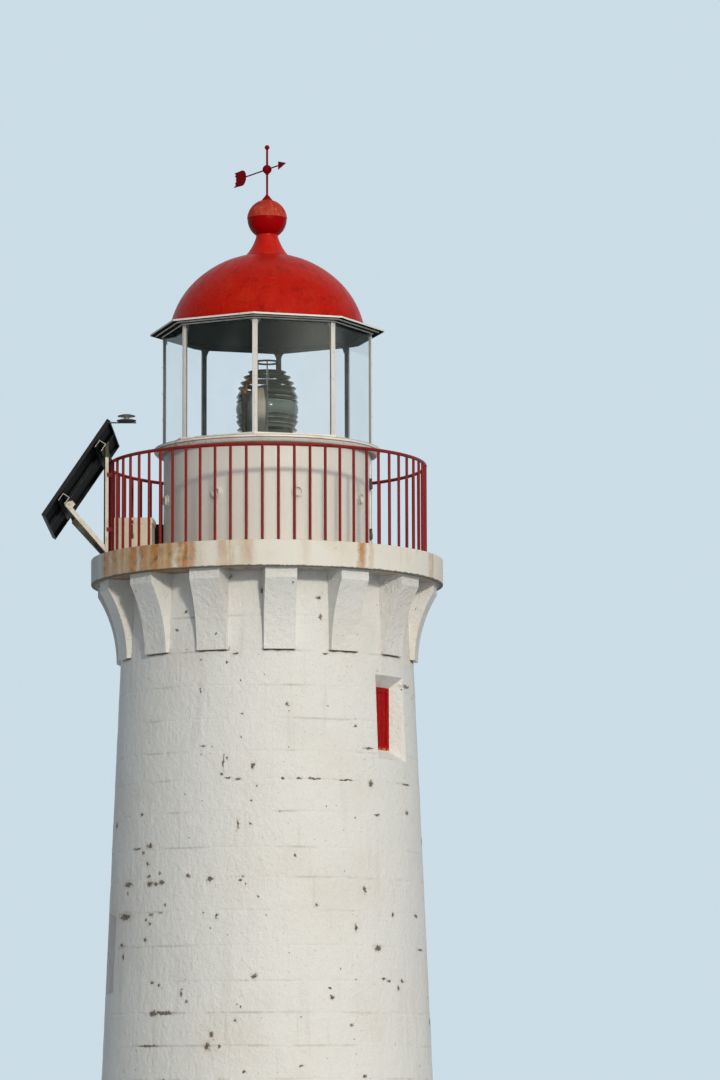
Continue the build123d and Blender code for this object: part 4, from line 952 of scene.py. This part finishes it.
def under_corbel(bearing, height):
    """How much painted shade, with a little dirt, darkens the wall just under the foot of a corbel."""
    if not CORBEL_FOOT - 0.05 < height < CORBEL_FOOT + 0.01:
        return 0.0
    turn = math.tau / CORBELS
    step = (bearing - math.radians(FIRST_CORBEL)) / turn
    away = abs(step - round(step)) * turn * wall_radius(height)
    reach = smooth(away, CORBEL_WIDTH / 2 + 0.012, CORBEL_WIDTH / 2 - 0.004)
    drop = 0.021 + 0.012 * noise.noise(Vector((bearing * 21.0, height * 4.0, 3.0)))
    return reach * smooth(CORBEL_FOOT - height, drop, drop * 0.4)


def face_point(bearing, height, stone, arc_low, arc_high, low, high):
    """Place on the face of one stone, and how deep in a joint it lies."""
    radius = wall_radius(height)
    bed = max(0.0, min(height - low, high - height))
    upright = max(0.0, min(bearing - arc_low, arc_high - bearing)) * radius
    nominal = at_bearing(radius, bearing, height)
    calm = smooth(opening_distance(bearing, height), 0.0, 0.03)
    wear = 0.50 + 1.3 * noise.noise(nominal * 2.3)
    joint = max(1.0 - smooth(bed, 0.0, JOINT_WIDTH),
                UPRIGHT_JOINT_SHARE * (1.0 - smooth(upright, 0.0, JOINT_WIDTH)))
    across = (bearing - (arc_low + arc_high) / 2) / (arc_high - arc_low)
    upward = (height - (low + high) / 2) / (high - low)
    lean = stone[0] + stone[1] * across + stone[2] * upward
    relief = lean * STONE_OFFSET * smooth(min(bed, upright), 0.0, 0.05)
    relief += 0.0026 * noise.noise(nominal * 5.0) + 0.0015 * noise.noise(nominal * 13.0)
    relief -= joint * JOINT_DEPTH * max(0.05, wear)
    return at_bearing(radius + relief * calm, bearing, height), joint * calm


def add_stone(shell, stone, arc_low, arc_high, low, high):
    """One stone's patch of the face, cut along the openings that it meets."""
    middle_radius = wall_radius((low + high) / 2)
    arcs = stone_lines(arc_low * middle_radius, arc_high * middle_radius, STONE_CELL)
    arcs = [arc / middle_radius for arc in arcs]
    levels = stone_lines(low, high, STONE_CELL)
    for window in WINDOWS:
        half_angle, sill, head = window_span(window)
        for side in (-1, 1):
            line = math.radians(window[0]) + side * half_angle
            line = (arc_low + arc_high) / 2 + angle_between(line, (arc_low + arc_high) / 2)
            if sill < high and head > low and arc_low < line < arc_high:
                arcs = sorted(arcs + [line])
        near = abs(angle_between((arc_low + arc_high) / 2, math.radians(window[0])))
        for line in (sill, head):
            if near < half_angle + (arc_high - arc_low) / 2 and low < line < high:
                levels = sorted(levels + [line])
    if low < FLOOR_TOP < high:
        levels = sorted(levels + [FLOOR_TOP])
    cells = []
    for row in range(len(levels) - 1):
        for column in range(len(arcs) - 1):
            bearing = (arcs[column] + arcs[column + 1]) / 2
            height = (levels[row] + levels[row + 1]) / 2
            if opening_distance(bearing, height) > 0:
                cells.append((row, column))
    index = {}
    for row, column in cells:
        for key in ((row, column), (row, column + 1), (row + 1, column + 1), (row + 1, column)):
            if key in index:
                continue
            bearing, height = arcs[key[1]], levels[key[0]]
            if 1e-6 < -door_distance(bearing, height) or (
                0 <= door_distance(bearing, height) < STONE_CELL * 0.75 and height > FLOOR_TOP
            ):
                bearing, height = snap_to_door(bearing, height)
            place, joint = face_point(bearing, height, stone, arc_low, arc_high, low, high)
            index[key] = shell.add(place, joint, under_corbel(bearing, height))
        shell.faces.append((index[(row, column)], index[(row, column + 1)],
                            index[(row + 1, column + 1)], index[(row + 1, column)]))


def add_window_reveals(shell, window):
    """Splayed plaster between the face of the wall and the window, then straight to the inside."""
    half_angle, low, high = window_span(window)
    turn = math.radians(window[0])
    depth = wall_radius((low + high) / 2) - WINDOW_SET_BACK
    inner_low = low + WINDOW_SILL_RISE
    inner_high = inner_low + WINDOW_HEIGHT
    half = WINDOW_WIDTH / 2
    outward, sideways = directions(turn)

    def inner(x, side, height):
        return outward * x + sideways * side + UP * height

    corners = (
        ((-1, low), (-half, inner_low)), ((1, low), (half, inner_low)),
        ((1, high), (half, inner_high)), ((-1, high), (-half, inner_high)),
    )
    for index in range(4):
        (side_a, z_a), (y_a, h_a) = corners[index]
        (side_b, z_b), (y_b, h_b) = corners[(index + 1) % 4]

        def splay(row, column, rows=9, columns=25):
            share = column / (columns - 1)
            side = side_a + (side_b - side_a) * share
            height = z_a + (z_b - z_a) * share
            outer = at_bearing(wall_radius(height), turn + side * half_angle, height)
            deep = inner(depth, y_a + (y_b - y_a) * share, h_a + (h_b - h_a) * share)
            inward = row / (rows - 1)
            place = outer.lerp(deep, inward)
            calm = min(1.0, 8.0 * inward * (1.0 - inward)) * min(1.0, 10.0 * share * (1.0 - share))
            return place + outward * 0.004 * calm * noise.noise(place * 11.0)

        def straight(row, column, rows=5, columns=9):
            share = column / (columns - 1)
            y = y_a + (y_b - y_a) * share
            back = math.sqrt(INSIDE_RADIUS ** 2 - y ** 2)
            x = depth + (back - depth) * row / (rows - 1)
            return inner(x, y, h_a + (h_b - h_a) * share)

        shell.grid(9, 25, splay)
        shell.grid(5, 9, straight)


def add_door_reveals(shell):
    """Jambs, arch and sill of the doorway through the whole wall."""
    outward, sideways = directions(math.radians(DOOR_BEARING))
    arch = [(DOOR_HALF_WIDTH * math.cos(math.pi * step / 32),
             DOOR_SPRING + DOOR_HALF_WIDTH * math.sin(math.pi * step / 32)) for step in range(33)]
    jamb = [FLOOR_TOP + (DOOR_SPRING - FLOOR_TOP) * step / 24 for step in range(24)]
    outline = [(DOOR_HALF_WIDTH, height) for height in jamb] + arch
    outline += [(-DOOR_HALF_WIDTH, height) for height in jamb[::-1]]
    outline += [(DOOR_HALF_WIDTH * (step / 6 - 1), FLOOR_TOP) for step in range(1, 13)]

    def reveal(row, column, rows=14):
        y, height = outline[column]
        outer = math.sqrt(wall_radius(height) ** 2 - y ** 2)
        back = math.sqrt(INSIDE_RADIUS ** 2 - y ** 2)
        x = outer + (back - outer) * row / (rows - 1)
        return outward * x + sideways * y + UP * height

    shell.grid(14, len(outline), reveal)


def add_inside(shell, low_bearing, high_bearing):
    """Inner face of the wall over one segment, with its openings left out."""
    bearings = [low_bearing + (high_bearing - low_bearing) * step / 12 for step in range(13)]
    levels = [WALL_TOP * step / 34 for step in range(35)]
    middle = (low_bearing + high_bearing) / 2
    half = math.asin(WINDOW_WIDTH / 2 / INSIDE_RADIUS)
    windows = [(math.radians(bearing), sill + WINDOW_SILL_RISE) for bearing, sill in WINDOWS]
    for turn, low in windows:
        for line in (turn - half, turn + half):
            line = middle + angle_between(line, middle)
            if low_bearing < line < high_bearing:
                bearings = sorted(bearings + [line])
        levels = sorted(levels + [low, low + WINDOW_HEIGHT])
    index = {}

    def vertex(row, column):
        if (row, column) not in index:
            place = at_bearing(INSIDE_RADIUS, bearings[column], levels[row])
            index[(row, column)] = shell.add(place)
        return index[(row, column)]

    for row in range(len(levels) - 1):
        for column in range(len(bearings) - 1):
            bearing = (bearings[column] + bearings[column + 1]) / 2
            height = (levels[row] + levels[row + 1]) / 2
            at_window = any(
                abs(angle_between(bearing, turn)) < half and low < height < low + WINDOW_HEIGHT
                for turn, low in windows
            )
            from_door = angle_between(bearing, math.radians(DOOR_BEARING))
            y = INSIDE_RADIUS * math.sin(from_door)
            top = DOOR_SPRING + math.sqrt(max(0.0, DOOR_HALF_WIDTH ** 2 - y ** 2))
            behind_door = abs(from_door) < math.pi / 2 and abs(y) < DOOR_HALF_WIDTH
            if not at_window and not (behind_door and FLOOR_TOP < height < top):
                shell.faces.append((vertex(row, column), vertex(row + 1, column),
                                    vertex(row + 1, column + 1), vertex(row, column + 1)))


def add_foot(shell, low_bearing, high_bearing):
    """Underside of the wall, which stands on the ground."""
    def ring(row, column):
        bearing = low_bearing + (high_bearing - low_bearing) * column / 12
        return at_bearing((INSIDE_RADIUS, GROUND_RADIUS)[row], bearing, 0.0)
    shell.grid(2, 13, ring)


def broken_places():
    """The seen damage, and as much again scattered over the rest of the wall."""
    chance = random.Random(11)
    places = list(BROKEN_PLACES)
    while len(places) < len(BROKEN_PLACES) + BROKEN_SPREAD:
        bearing = chance.uniform(-180.0, 180.0)
        height = chance.uniform(0.2, 5.9)
        if abs(bearing) < BROKEN_FREE_BEARING and height > 1.9:
            continue
        width = chance.uniform(0.010, 0.045)
        places.append((bearing, height, width, width * chance.uniform(0.4, 1.2)))
    return places


def build_wall():
    """Eight segments, each with its stones, inner face and foot; some hold an opening's reveals."""
    span = math.tau / WALL_SEGMENTS
    shells = [Shell() for _ in range(WALL_SEGMENTS)]
    chance = random.Random(7)
    for low, high in zip(BED_JOINTS, BED_JOINTS[1:]):
        around = math.tau * wall_radius(low)
        count = round(around / STONE_LENGTH)
        start = chance.uniform(0.0, math.tau)
        joints = [start + math.tau * (index + chance.uniform(-0.28, 0.28)) / count
                  for index in range(count)]
        joints.append(joints[0] + math.tau)
        for arc_low, arc_high in zip(joints, joints[1:]):
            stone = [chance.uniform(-1.0, 1.0) for _ in range(3)]
            segment = round((arc_low + arc_high) / 2 / span) % WALL_SEGMENTS
            add_stone(shells[segment], stone, arc_low, arc_high, low, high)
    add_window_reveals(shells[1], WINDOWS[0])
    add_window_reveals(shells[6], WINDOWS[1])
    add_door_reveals(shells[4])
    places = broken_places()
    for segment, shell in enumerate(shells):
        middle = segment * span
        add_inside(shell, middle - span / 2, middle + span / 2)
        add_foot(shell, middle - span / 2, middle + span / 2)
        reach = math.degrees(span) / 2 + 14.0
        near = [place for place in places
                if abs(math.degrees(angle_between(math.radians(place[0]), middle))) < reach]
        name = f"wall_{segment + 1}"
        paint = masonry_paint(f"{name}_paint", near, use_joints=True)
        made = shell.piece(f"{name}_stones", paint, "painted_masonry")
        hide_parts(name)


# Small fittings


def turned_profile(profile, steps):
    """Vertices and faces of a form turned about Z from (radius, height) points."""
    vertices, faces = [], []
    for radius, height in profile:
        for step in range(steps):
            angle = math.tau * step / steps
            vertices.append(Vector((radius * math.cos(angle), radius * math.sin(angle), height)))
    for row in range(len(profile) - 1):
        for step in range(steps):
            after = (step + 1) % steps
            faces.append((row * steps + step, row * steps + after,
                          (row + 1) * steps + after, (row + 1) * steps + step))
    return vertices, faces


def gather(name, parts, material, is_smooth=True):
    """One piece from several (vertices, faces, matrix)."""
    vertices, faces = [], []
    for part_vertices, part_faces, matrix in parts:
        base = len(vertices)
        vertices += [matrix @ vertex for vertex in part_vertices]
        faces += [tuple(base + corner for corner in face) for face in part_faces]
    return new_piece(name, vertices, faces, material, is_smooth)


def look_along(origin, direction):
    """Matrix that puts a form's Z axis along a direction."""
    z = Vector(direction).normalized()
    x = UP.cross(z)
    if x.length < 1e-6:
        x = Vector((1.0, 0.0, 0.0))
    x.normalize()
    y = z.cross(x)
    matrix = Matrix((x, y, z)).transposed().to_4x4()
    matrix.translation = Vector(origin)
    return matrix


def build_mullion_bolts(material):
    """Five bolts up each glazing bar."""
    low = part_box("mullions")[0].z
    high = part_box("mullions")[1].z
    head = turned_profile(BOLT, 12)
    parts = []
    for side in range(LANTERN_SIDES):
        bearing = math.radians(FIRST_CORNER + side * 360.0 / LANTERN_SIDES)
        outward = at_bearing(1.0, bearing, 0.0)
        for height in (low + 0.035, low + 0.30, (low + high) / 2, high - 0.30, high - 0.035):
            place = at_bearing(BAR_FACE, bearing, height)
            parts.append((*head, look_along(place, outward)))
    gather("mullion_bolts", parts, material)


def between(first, second):
    """Vertices and faces of the solid between two equal outlines."""
    count = len(first)
    faces = [tuple(range(count)), tuple(range(2 * count - 1, count - 1, -1))]
    for corner in range(count):
        after = (corner + 1) % count
        faces.append((corner, corner + count, after + count, after))
    return [*first, *second], faces


def pressed(outline, low, high, matrix):
    """A flat outline, given in order round its edge, made into a bar between two levels."""
    top, foot = ([Vector((x, y, level)) for x, y in outline] for level in (high, low))
    return (*between(top, foot), matrix)


def build_glazing_bars(material):
    """Flat bars with chamfered edges and a bead, and a hollow-sided bracket behind each head."""
    low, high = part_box("mullions")[0].z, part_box("mullions")[1].z
    face = BAR_FACE - 0.0005
    half = [(BAR_HALF, BAR_BACK), (BAR_HALF, BAR_FACE - 0.004), (BAR_HALF - 0.004, face),
            (0.011, face), (0.009, face + 0.002)]
    section = half + [(-x, y) for x, y in reversed(half)]
    flare = []
    for step in range(9):
        share = step / 8
        flare.append((BAR_HALF - 0.001 + 0.030 * (1.0 - share) ** 1.7, high - 0.060 * share))
    bracket = [(-x, z) for x, z in reversed(flare)] + flare
    parts = []
    for side in range(LANTERN_SIDES):
        bearing = math.radians(FIRST_CORNER + side * 360.0 / LANTERN_SIDES)
        outward, across = directions(bearing)
        standing = Matrix((across, outward, UP)).transposed().to_4x4()
        parts.append(pressed(section, low, high, standing))
        lying = Matrix((across, UP, outward)).transposed().to_4x4()
        parts.append(pressed(bracket, BAR_BACK - 0.012, BAR_BACK + 0.002, lying))
    bars = gather("glazing_bars", parts, material, is_smooth=False)
    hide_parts("mullions")


def build_dome_seams(material):
    """Thin folded seams between the dome's sheets, from its foot to the ventilator."""
    rise = max(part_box("dome")[1].z - DOME_CENTRE, DOME_RISE)
    shell = Shell()
    profile = (
        (-0.0075, -0.001), (-0.004, 0.0011), (0.0, 0.0016), (0.004, 0.0011), (0.0075, -0.001),
    )
    foot_angle = math.asin((SEAM_FOOT - DOME_CENTRE) / rise)
    end_angle = math.radians(SEAM_END_ANGLE)
    for seam in range(DOME_SEAMS):
        bearing = math.radians(FIRST_SEAM) + math.tau * seam / DOME_SEAMS

        def strip(row, column, turn=bearing):
            side, proud = profile[column]
            angle = foot_angle + (end_angle - foot_angle) * row / 30
            radius = DOME_RADIUS * math.cos(angle)
            outward = Vector((math.cos(angle) / DOME_RADIUS, math.sin(angle) / rise)).normalized()
            reach = radius + proud * outward.x
            height = DOME_CENTRE + rise * math.sin(angle) + proud * outward.y
            return at_bearing(reach, turn + side / max(radius, 0.1), height)

        shell.grid(31, 5, strip)
    shell.piece("dome_seams", material, "roof_copper")


def rounded_slab(width, height, depth, bevel):
    """Plate in the XY plane with a bevelled front edge; its back is at z 0."""
    loops = (
        (width / 2, height / 2, 0.0), (width / 2, height / 2, depth - bevel),
        (width / 2 - bevel, height / 2 - bevel, depth),
    )
    vertices, faces = [], []
    for half_x, half_y, z in loops:
        vertices += [Vector(corner) for corner in (
            (-half_x, -half_y, z), (half_x, -half_y, z), (half_x, half_y, z), (-half_x, half_y, z))]
    for ring in range(2):
        for corner in range(4):
            low, after = ring * 4 + corner, ring * 4 + (corner + 1) % 4
            faces.append((low, after, after + 4, low + 4))
    faces.append((8, 9, 10, 11))
    faces.append((3, 2, 1, 0))
    return vertices, faces


def build_cabinet_latch(material):
    """Hasp, staple and padlock on the cabinet's front."""
    outward, sideways = directions(math.radians(CABINET_BEARING))
    middle = Vector(CABINET_MIDDLE) + outward * 0.165
    lid = middle + outward * 0.008
    parts = []
    for place, size, height in (
        (lid, (0.034, 0.034, 0.004), SLAB_TOP + 0.381),
        (middle, (0.025, 0.110, 0.005), SLAB_TOP + 0.300),
        (middle + outward * 0.006, (0.036, 0.046, 0.018), SLAB_TOP + 0.238),
    ):
        form = rounded_slab(*size, 0.002)
        parts.append((*form, look_along(place + UP * height, outward)))
    staple = ((0.010, -0.004), (0.014, -0.004), (0.016, 0.0), (0.014, 0.004), (0.010, 0.004))
    place = middle + outward * 0.012 + UP * (SLAB_TOP + 0.266)
    parts.append((*turned_profile(staple, 16), look_along(place, sideways)))
    gather("cabinet_latch", parts, material, is_smooth=False)


def build_door_ironwork(material):
    """Strap hinges, ring handle and lock plate on the entrance door."""
    outward, sideways = directions(math.radians(DOOR_BEARING))
    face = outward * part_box("entrance_door")[1].y
    parts = []
    for height in (0.45, 1.10, 1.75):
        middle = face + sideways * 0.085 + UP * height
        parts.append((*rounded_slab(0.56, 0.046, 0.007, 0.003), look_along(middle, outward)))
        for step in range(4):
            place = face + sideways * (0.30 - 0.15 * step) + outward * 0.007 + UP * height
            parts.append((*turned_profile(BOLT, 12), look_along(place, outward)))
    plate = face - sideways * 0.30 + UP * 1.05
    parts.append((*rounded_slab(0.070, 0.180, 0.005, 0.002), look_along(plate, outward)))
    ring = []
    for step in range(14):
        angle = math.tau * step / 14
        ring.append((0.038 + 0.0055 * math.cos(angle), 0.0055 * math.sin(angle)))
    ring.append(ring[0])
    place = plate + outward * 0.012 - UP * 0.020
    parts.append((*turned_profile(ring, 28), look_along(place, outward)))
    gather("door_ironwork", parts, material)


def build_array_bolts(material):
    """Bolts through the post feet and the clamps."""
    parts = []
    head = turned_profile(BOLT, 6)
    low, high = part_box("array_posts")
    for y in (low.y + 0.014, low.y + 0.086, high.y - 0.086, high.y - 0.014):
        place = Vector((low.x + 0.016, y, SLAB_TOP + 0.008))
        parts.append((*head, look_along(place, UP)))
    for y in (low.y + 0.050, high.y - 0.050):
        for height in (0.27, 0.82):
            place = Vector((-1.570, y - 0.017, SLAB_TOP + height))
            parts.append((*head, look_along(place, (0.0, -1.0, 0.0))))
    gather("array_bolts", parts, material, is_smooth=False)


def build_struts(material):
    """Angle-iron struts from the post feet to the lower channel, with a gusset at each head."""
    across, up, out = array_axes()
    low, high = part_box("array_posts")
    half, wall = 0.022, 0.006
    section = ((-half, half), (-half, -half), (wall - half, -half), (wall - half, half - wall),
               (half, half - wall), (half, half))
    gusset = ((-0.015, 0.012), (0.005, -0.028), (0.050, -0.058), (0.095, -0.003), (0.065, 0.032))
    parts = []
    for y in (low.y + 0.050, high.y - 0.050):
        seat = Vector(ARRAY_CENTRE) - across * y - up * 0.345 - out * 0.118
        foot = Vector((low.x + 0.050, y, SLAB_TOP + 0.062))
        head = Vector((seat.x, y, seat.z))
        direction = (head - foot).normalized()
        side = Vector((0.0, 1.0, 0.0))
        under = direction.cross(side)
        roll = math.radians(12.0)
        right = side * math.cos(roll) + under * math.sin(roll)
        forward = under * math.cos(roll) - side * math.sin(roll)
        ends = [[end + right * a + forward * b for a, b in section] for end in (foot, head)]
        parts.append((*between(*ends), Matrix()))
        plate = [[head + Vector((x, y, z)) for x, z in gusset] for y in (-0.030, -0.024)]
        parts.append((*between(*plate), Matrix()))
        bolt = plate[0][0] + Vector((0.045, 0.0, -0.012))
        parts.append((*turned_profile(BOLT, 6), look_along(bolt, (0.0, -1.0, 0.0))))
    struts = gather("strut_irons", parts, material, is_smooth=False)
    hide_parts("array_struts")


# Lens


def sweep(shell, runs, low, high):
    """Closed section carried between two bearings; each run of its points shades smooth."""
    steps = max(2, round((high - low) / math.radians(3.0)))
    for run in runs:

        def strip(row, column, run=run):
            radius, level = run[row]
            return at_bearing(radius, low + (high - low) * column / steps, LENS_FOCUS + level)

        shell.grid(len(run), steps + 1, strip)
    section = [point for run in runs for point in run[:-1]]
    for bearing, order in ((low, 1), (high, -1)):
        corners = [shell.add(at_bearing(radius, bearing, LENS_FOCUS + level))
                   for radius, level in section]
        shell.faces.append(tuple(corners[::order]))


def edges_of(section):
    """Runs of two points round a section, so that its edges stay sharp."""
    return [(point, section[(index + 1) % len(section)]) for index, point in enumerate(section)]


def mirrored(section):
    """The same section below the focus."""
    return [(radius, -level) for radius, level in section[::-1]]


def prism_section(tip, up):
    """Triangle of a prism ring behind its tip, above or below the focus."""
    radius, level = tip[0], abs(tip[1])
    section = [(radius, level), (radius - 0.054, level + 0.006), (radius - 0.034, level - 0.038)]
    return section if up else mirrored(section)


def step_section(level, up):
    """Section of a stepped ring next to the belt, above or below it."""
    near, far = level
    section = [(GLASS_INSIDE, near), (STEP_TIP, near), (STEP_FOOT, far), (GLASS_INSIDE, far)]
    return section if up else mirrored(section)


def belt_runs():
    """Section of the belt, whose crown shades smooth."""
    crown = []
    for step in range(13):
        level = BELT_HALF * (step / 6 - 1)
        crown.append((BELT_EDGE + (BELT_CROWN - BELT_EDGE) * (1 - (level / BELT_HALF) ** 2), level))
    low, high = (GLASS_INSIDE, -BELT_HALF), (GLASS_INSIDE, BELT_HALF)
    return [(low, crown[0]), crown, (crown[-1], high), (high, low)]


def rib_outline():
    """Rib between two panels: its outer edge lies behind the tips of the glass."""
    neck = UPPER_TIPS[-1][1] + 0.018
    inside, outside, crown, _ = CROWN_RING
    outer = [(BELT_EDGE, RIB_FOOT), (BELT_EDGE, 0.160)]
    outer += [(radius - 0.026, level) for radius, level in UPPER_TIPS]
    outer += [(outside, neck), (outside, crown), (inside, crown), (inside, neck)]
    back = [(radius - 0.062, level + 0.010) for radius, level in UPPER_TIPS[::-1]]
    lower = [(GLASS_INSIDE - 0.004, -0.187)]
    lower += [(radius - 0.062, level) for radius, level in LOWER_TIPS[1:]]
    return outer + back + lower + [(lower[-1][0], RIB_FOOT)]


def build_lens(glass, frame_metal):
    """Saw-edged rings of glass, the lower ones left out at the screen, and the frame round them."""
    span = math.tau / LENS_PANELS
    shell = Shell()
    drum = [belt_runs()]
    drum += [edges_of(step_section(level, up)) for level in STEP_LEVELS for up in (True, False)]
    drum += [edges_of(prism_section(tip, False)) for tip in LOWER_TIPS]
    drum.append(edges_of(prism_section(UPPER_TIPS[0], True)))
    upper = [edges_of(prism_section(tip, True)) for tip in UPPER_TIPS[1:]]
    for panel in range(LENS_PANELS):
        for runs in upper + (drum if panel != BLANK_PANEL else []):
            margin = (RIB_HALF + 0.001) / min(radius for run in runs for radius, _ in run)
            sweep(shell, runs, panel * span + margin, (panel + 1) * span - margin)
    rings = shell.piece("lens_rings", glass, "lens_glass")
    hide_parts("lens_glass")

    parts = []
    outline = rib_outline()
    for panel in range(LENS_PANELS):
        bearing = panel * span
        side = directions(bearing)[1] * RIB_HALF
        middle = [at_bearing(radius, bearing, LENS_FOCUS + level) for radius, level in outline]
        sides = [[point + offset for point in middle] for offset in (-side, side)]
        parts.append((*between(*sides), Matrix()))
    for inside, outside, low, high in (FOOT_RING, CROWN_RING):
        profile = ((inside, low), (outside, low), (outside, high), (inside, high), (inside, low))
        parts.append((*turned_profile(profile, 72), Matrix.Translation((0.0, 0.0, LENS_FOCUS))))
    frame_piece = gather("lens_ribs", parts, frame_metal, is_smooth=False)
    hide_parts("lens_frame")


# Paint every node, then add the finer pieces

stone_paint = masonry_paint("corbel_paint", lumps=0.016)
rail_red = iron_paint("rail_red", (0.235, 0.015, 0.013), (0.140, 0.007, 0.007), 0.42, 0.4, 0.12)
lantern_cream = iron_paint("lantern_cream", (0.715, 0.678, 0.635), (0.660, 0.605, 0.555), 0.45)
bar_cream = bar_paint()
cornice_cream = cornice_paint()
dome_red = dome_paint("dome_red", (0.460, 0.009, 0.003), (0.490, 0.027, 0.009), 0.65, 0.36, 0.06,
                      hollow=True)
ball_pale = dome_paint("ball_pale", (0.430, 0.036, 0.022), (0.600, 0.115, 0.070), 1.0, 0.62)
ball_deep = dome_paint("ball_deep", (0.350, 0.0008, 0.0012), (0.290, 0.001, 0.0016), 0.6, 0.34, 0.035)
vane_red = dome_paint("vane_red", (0.270, 0.004, 0.009), (0.150, 0.0025, 0.007), 0.8, 0.55, 0.02)
neck_red = dome_paint("neck_red", (0.520, 0.009, 0.004), (0.560, 0.030, 0.011), 0.65, 0.36, 0.09,
                      hollow=True)
boards = window_boards()
door_red = iron_paint("door_red", (0.200, 0.020, 0.014), (0.130, 0.012, 0.010), 0.38, 0.2)
dark_iron = plain_metal("dark_iron", (0.050, 0.040, 0.034), (0.090, 0.052, 0.034), 0.50, 0.5, 0.8)
frame_grey = plain_metal("frame_grey", (0.014, 0.014, 0.014), (0.009, 0.009, 0.009), 0.5, 0.0,
                         sheen=0.12)
# Painted shade: the ceiling inside the lantern is made near black.
ceiling_shade = iron_paint("ceiling_shade_paint", (0.012, 0.021, 0.018), (0.008, 0.014, 0.012), 0.8, 0.2, 0.0)
pedestal_green = iron_paint("pedestal_green", (0.085, 0.110, 0.095), (0.060, 0.075, 0.066), 0.4, 0.3)
cabinet_cream = iron_paint("cabinet_cream", (0.860, 0.745, 0.600), (0.760, 0.630, 0.480), 0.45, 0.45)

MATERIALS = {
    "ground_floor": floor_stone(),
    "window_frames": boards,
    "window_shutters": boards,
    "door_frame": door_red,
    "entrance_door": door_red,
    "corbels": stone_paint,
    "gallery_slab": gallery_stone(),
    "railing_odd_bays": rail_red,
    "railing_even_bays": rail_red,
    "lantern_door_panel": lantern_cream,
    "lantern_base_even_panels": lantern_cream,
    "lantern_base_odd_panels": lantern_cream,
    "air_vents": lantern_cream,
    "gallery_door": lantern_cream,
    "gallery_door_fittings": dark_iron,
    "cornice": cornice_cream,
    "glazing_kerb": cornice_cream,
    "mullions": bar_cream,
    "lantern_panes": window_glass(),
    "eave": eave_paint(),
    "ceiling": ceiling_shade,
    "dome": dome_red,
    "ventilator_neck": neck_red,
    "ball_lower": ball_deep,
    "ball_upper": ball_pale,
    "vane_spindle": vane_red,
    "wind_vane": vane_red,
    "lens_pedestal": pedestal_green,
    "lens_frame": gunmetal(),
    "lens_glass": prism_glass(),
    "lens_screen": satin_sheet(),
    "solar_frames": frame_grey,
    "solar_laminates": solar_cells(),
    "array_channels": channel_iron(),
    "array_posts": post_metal(),
    "array_struts": strut_metal(),
    "array_clamps": rail_red,
    "array_sensor": sensor_shell(),
    "cabinet": cabinet_cream,
    "battery_box": plastic("battery_plastic", (0.018, 0.018, 0.020), 0.5),
}

for node, material in MATERIALS.items():
    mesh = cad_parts[node].data
    mesh.materials.clear()
    mesh.materials.append(material)

build_wall()
build_glazing_bars(bar_cream)
build_mullion_bolts(bar_cream)
build_dome_seams(dome_red)
build_cabinet_latch(dark_iron)
build_door_ironwork(dark_iron)
build_array_bolts(dark_iron)
build_struts(MATERIALS["array_struts"])
build_lens(MATERIALS["lens_glass"], MATERIALS["lens_frame"])


# Floor, light and camera


def build_floor():
    """Large pale floor, lighter where the camera sees it."""
    s = Surface("floor_pale")
    s.dress(s.mix(s.noise(0.4), (0.70, 0.71, 0.72), (0.74, 0.75, 0.76)), 0.9)
    glow = s.node("ShaderNodeEmission", (0.80, 0.85, 0.90), 1.0)
    s.finish("Material Output", s.times(s.seen(), 0.55), s.shader, glow)
    half = FLOOR_HALF_SIZE
    corners = [(-half, -half, 0.0), (half, -half, 0.0), (half, half, 0.0), (-half, half, 0.0)]
    mesh = bpy.data.meshes.new("floor")
    mesh.from_pydata(corners, [], [(0, 1, 2, 3)])
    mesh.materials.append(s.material)
    floor = add_object("floor", mesh)


def build_world():
    """Cool soft light from all round; the camera sees a plain pale backdrop."""
    world = bpy.data.worlds.new("backdrop")
    bpy.context.scene.world = world
    tree = Nodes(world)
    light = tree.node("ShaderNodeBackground", (0.70, 0.86, 1.0), 0.25)
    backdrop = tree.node("ShaderNodeBackground", (0.60, 0.72, 0.80), 1.0)
    tree.finish("World Output", tree.seen(), light, backdrop)


def build_sun(name, bearing, elevation, strength, colour, angle):
    """Distant lamp that shines from a bearing and a height above the horizon."""
    lamp = bpy.data.lights.new(name, "SUN")
    lamp.energy = strength
    lamp.color = colour
    lamp.angle = math.radians(angle)
    sun = add_object(name, lamp)
    height = math.radians(elevation)
    source = at_bearing(math.cos(height), math.radians(bearing), math.sin(height))
    sun.rotation_euler = source.to_track_quat("Z", "Y").to_euler()


def build_camera():
    """Long lens at a standing person's eye height, rolled a little as the picture is."""
    camera = bpy.data.cameras.new("camera")
    camera.sensor_width = SENSOR
    camera.lens = FOCAL_PIXELS / FRAME_HEIGHT * SENSOR
    camera.clip_start = 0.5
    camera.clip_end = 400.0
    eye = add_object("camera", camera)
    pitch = math.atan(HORIZON_BELOW_CENTRE / FOCAL_PIXELS)
    yaw = math.atan(AXIS_LEFT_OF_CENTRE * math.cos(pitch) / FOCAL_PIXELS)
    eye.location = (0.0, -EYE_DISTANCE, EYE_HEIGHT)
    turn = Matrix.Rotation(-yaw, 3, "Z") @ Matrix.Rotation(math.pi / 2 + pitch, 3, "X")
    eye.rotation_euler = (turn @ Matrix.Rotation(ROLL, 3, "Z")).to_euler()
    bpy.context.scene.camera = eye


build_floor()
build_world()
build_sun("key", 16.0, 17.0, 1.64, (1.0, 0.945, 0.81), 5.0)
build_sun("haze", 34.0, 34.0, 0.85, (1.0, 0.96, 0.88), 70.0)
build_camera()
bpy.context.scene.view_settings.view_transform = "Standard"
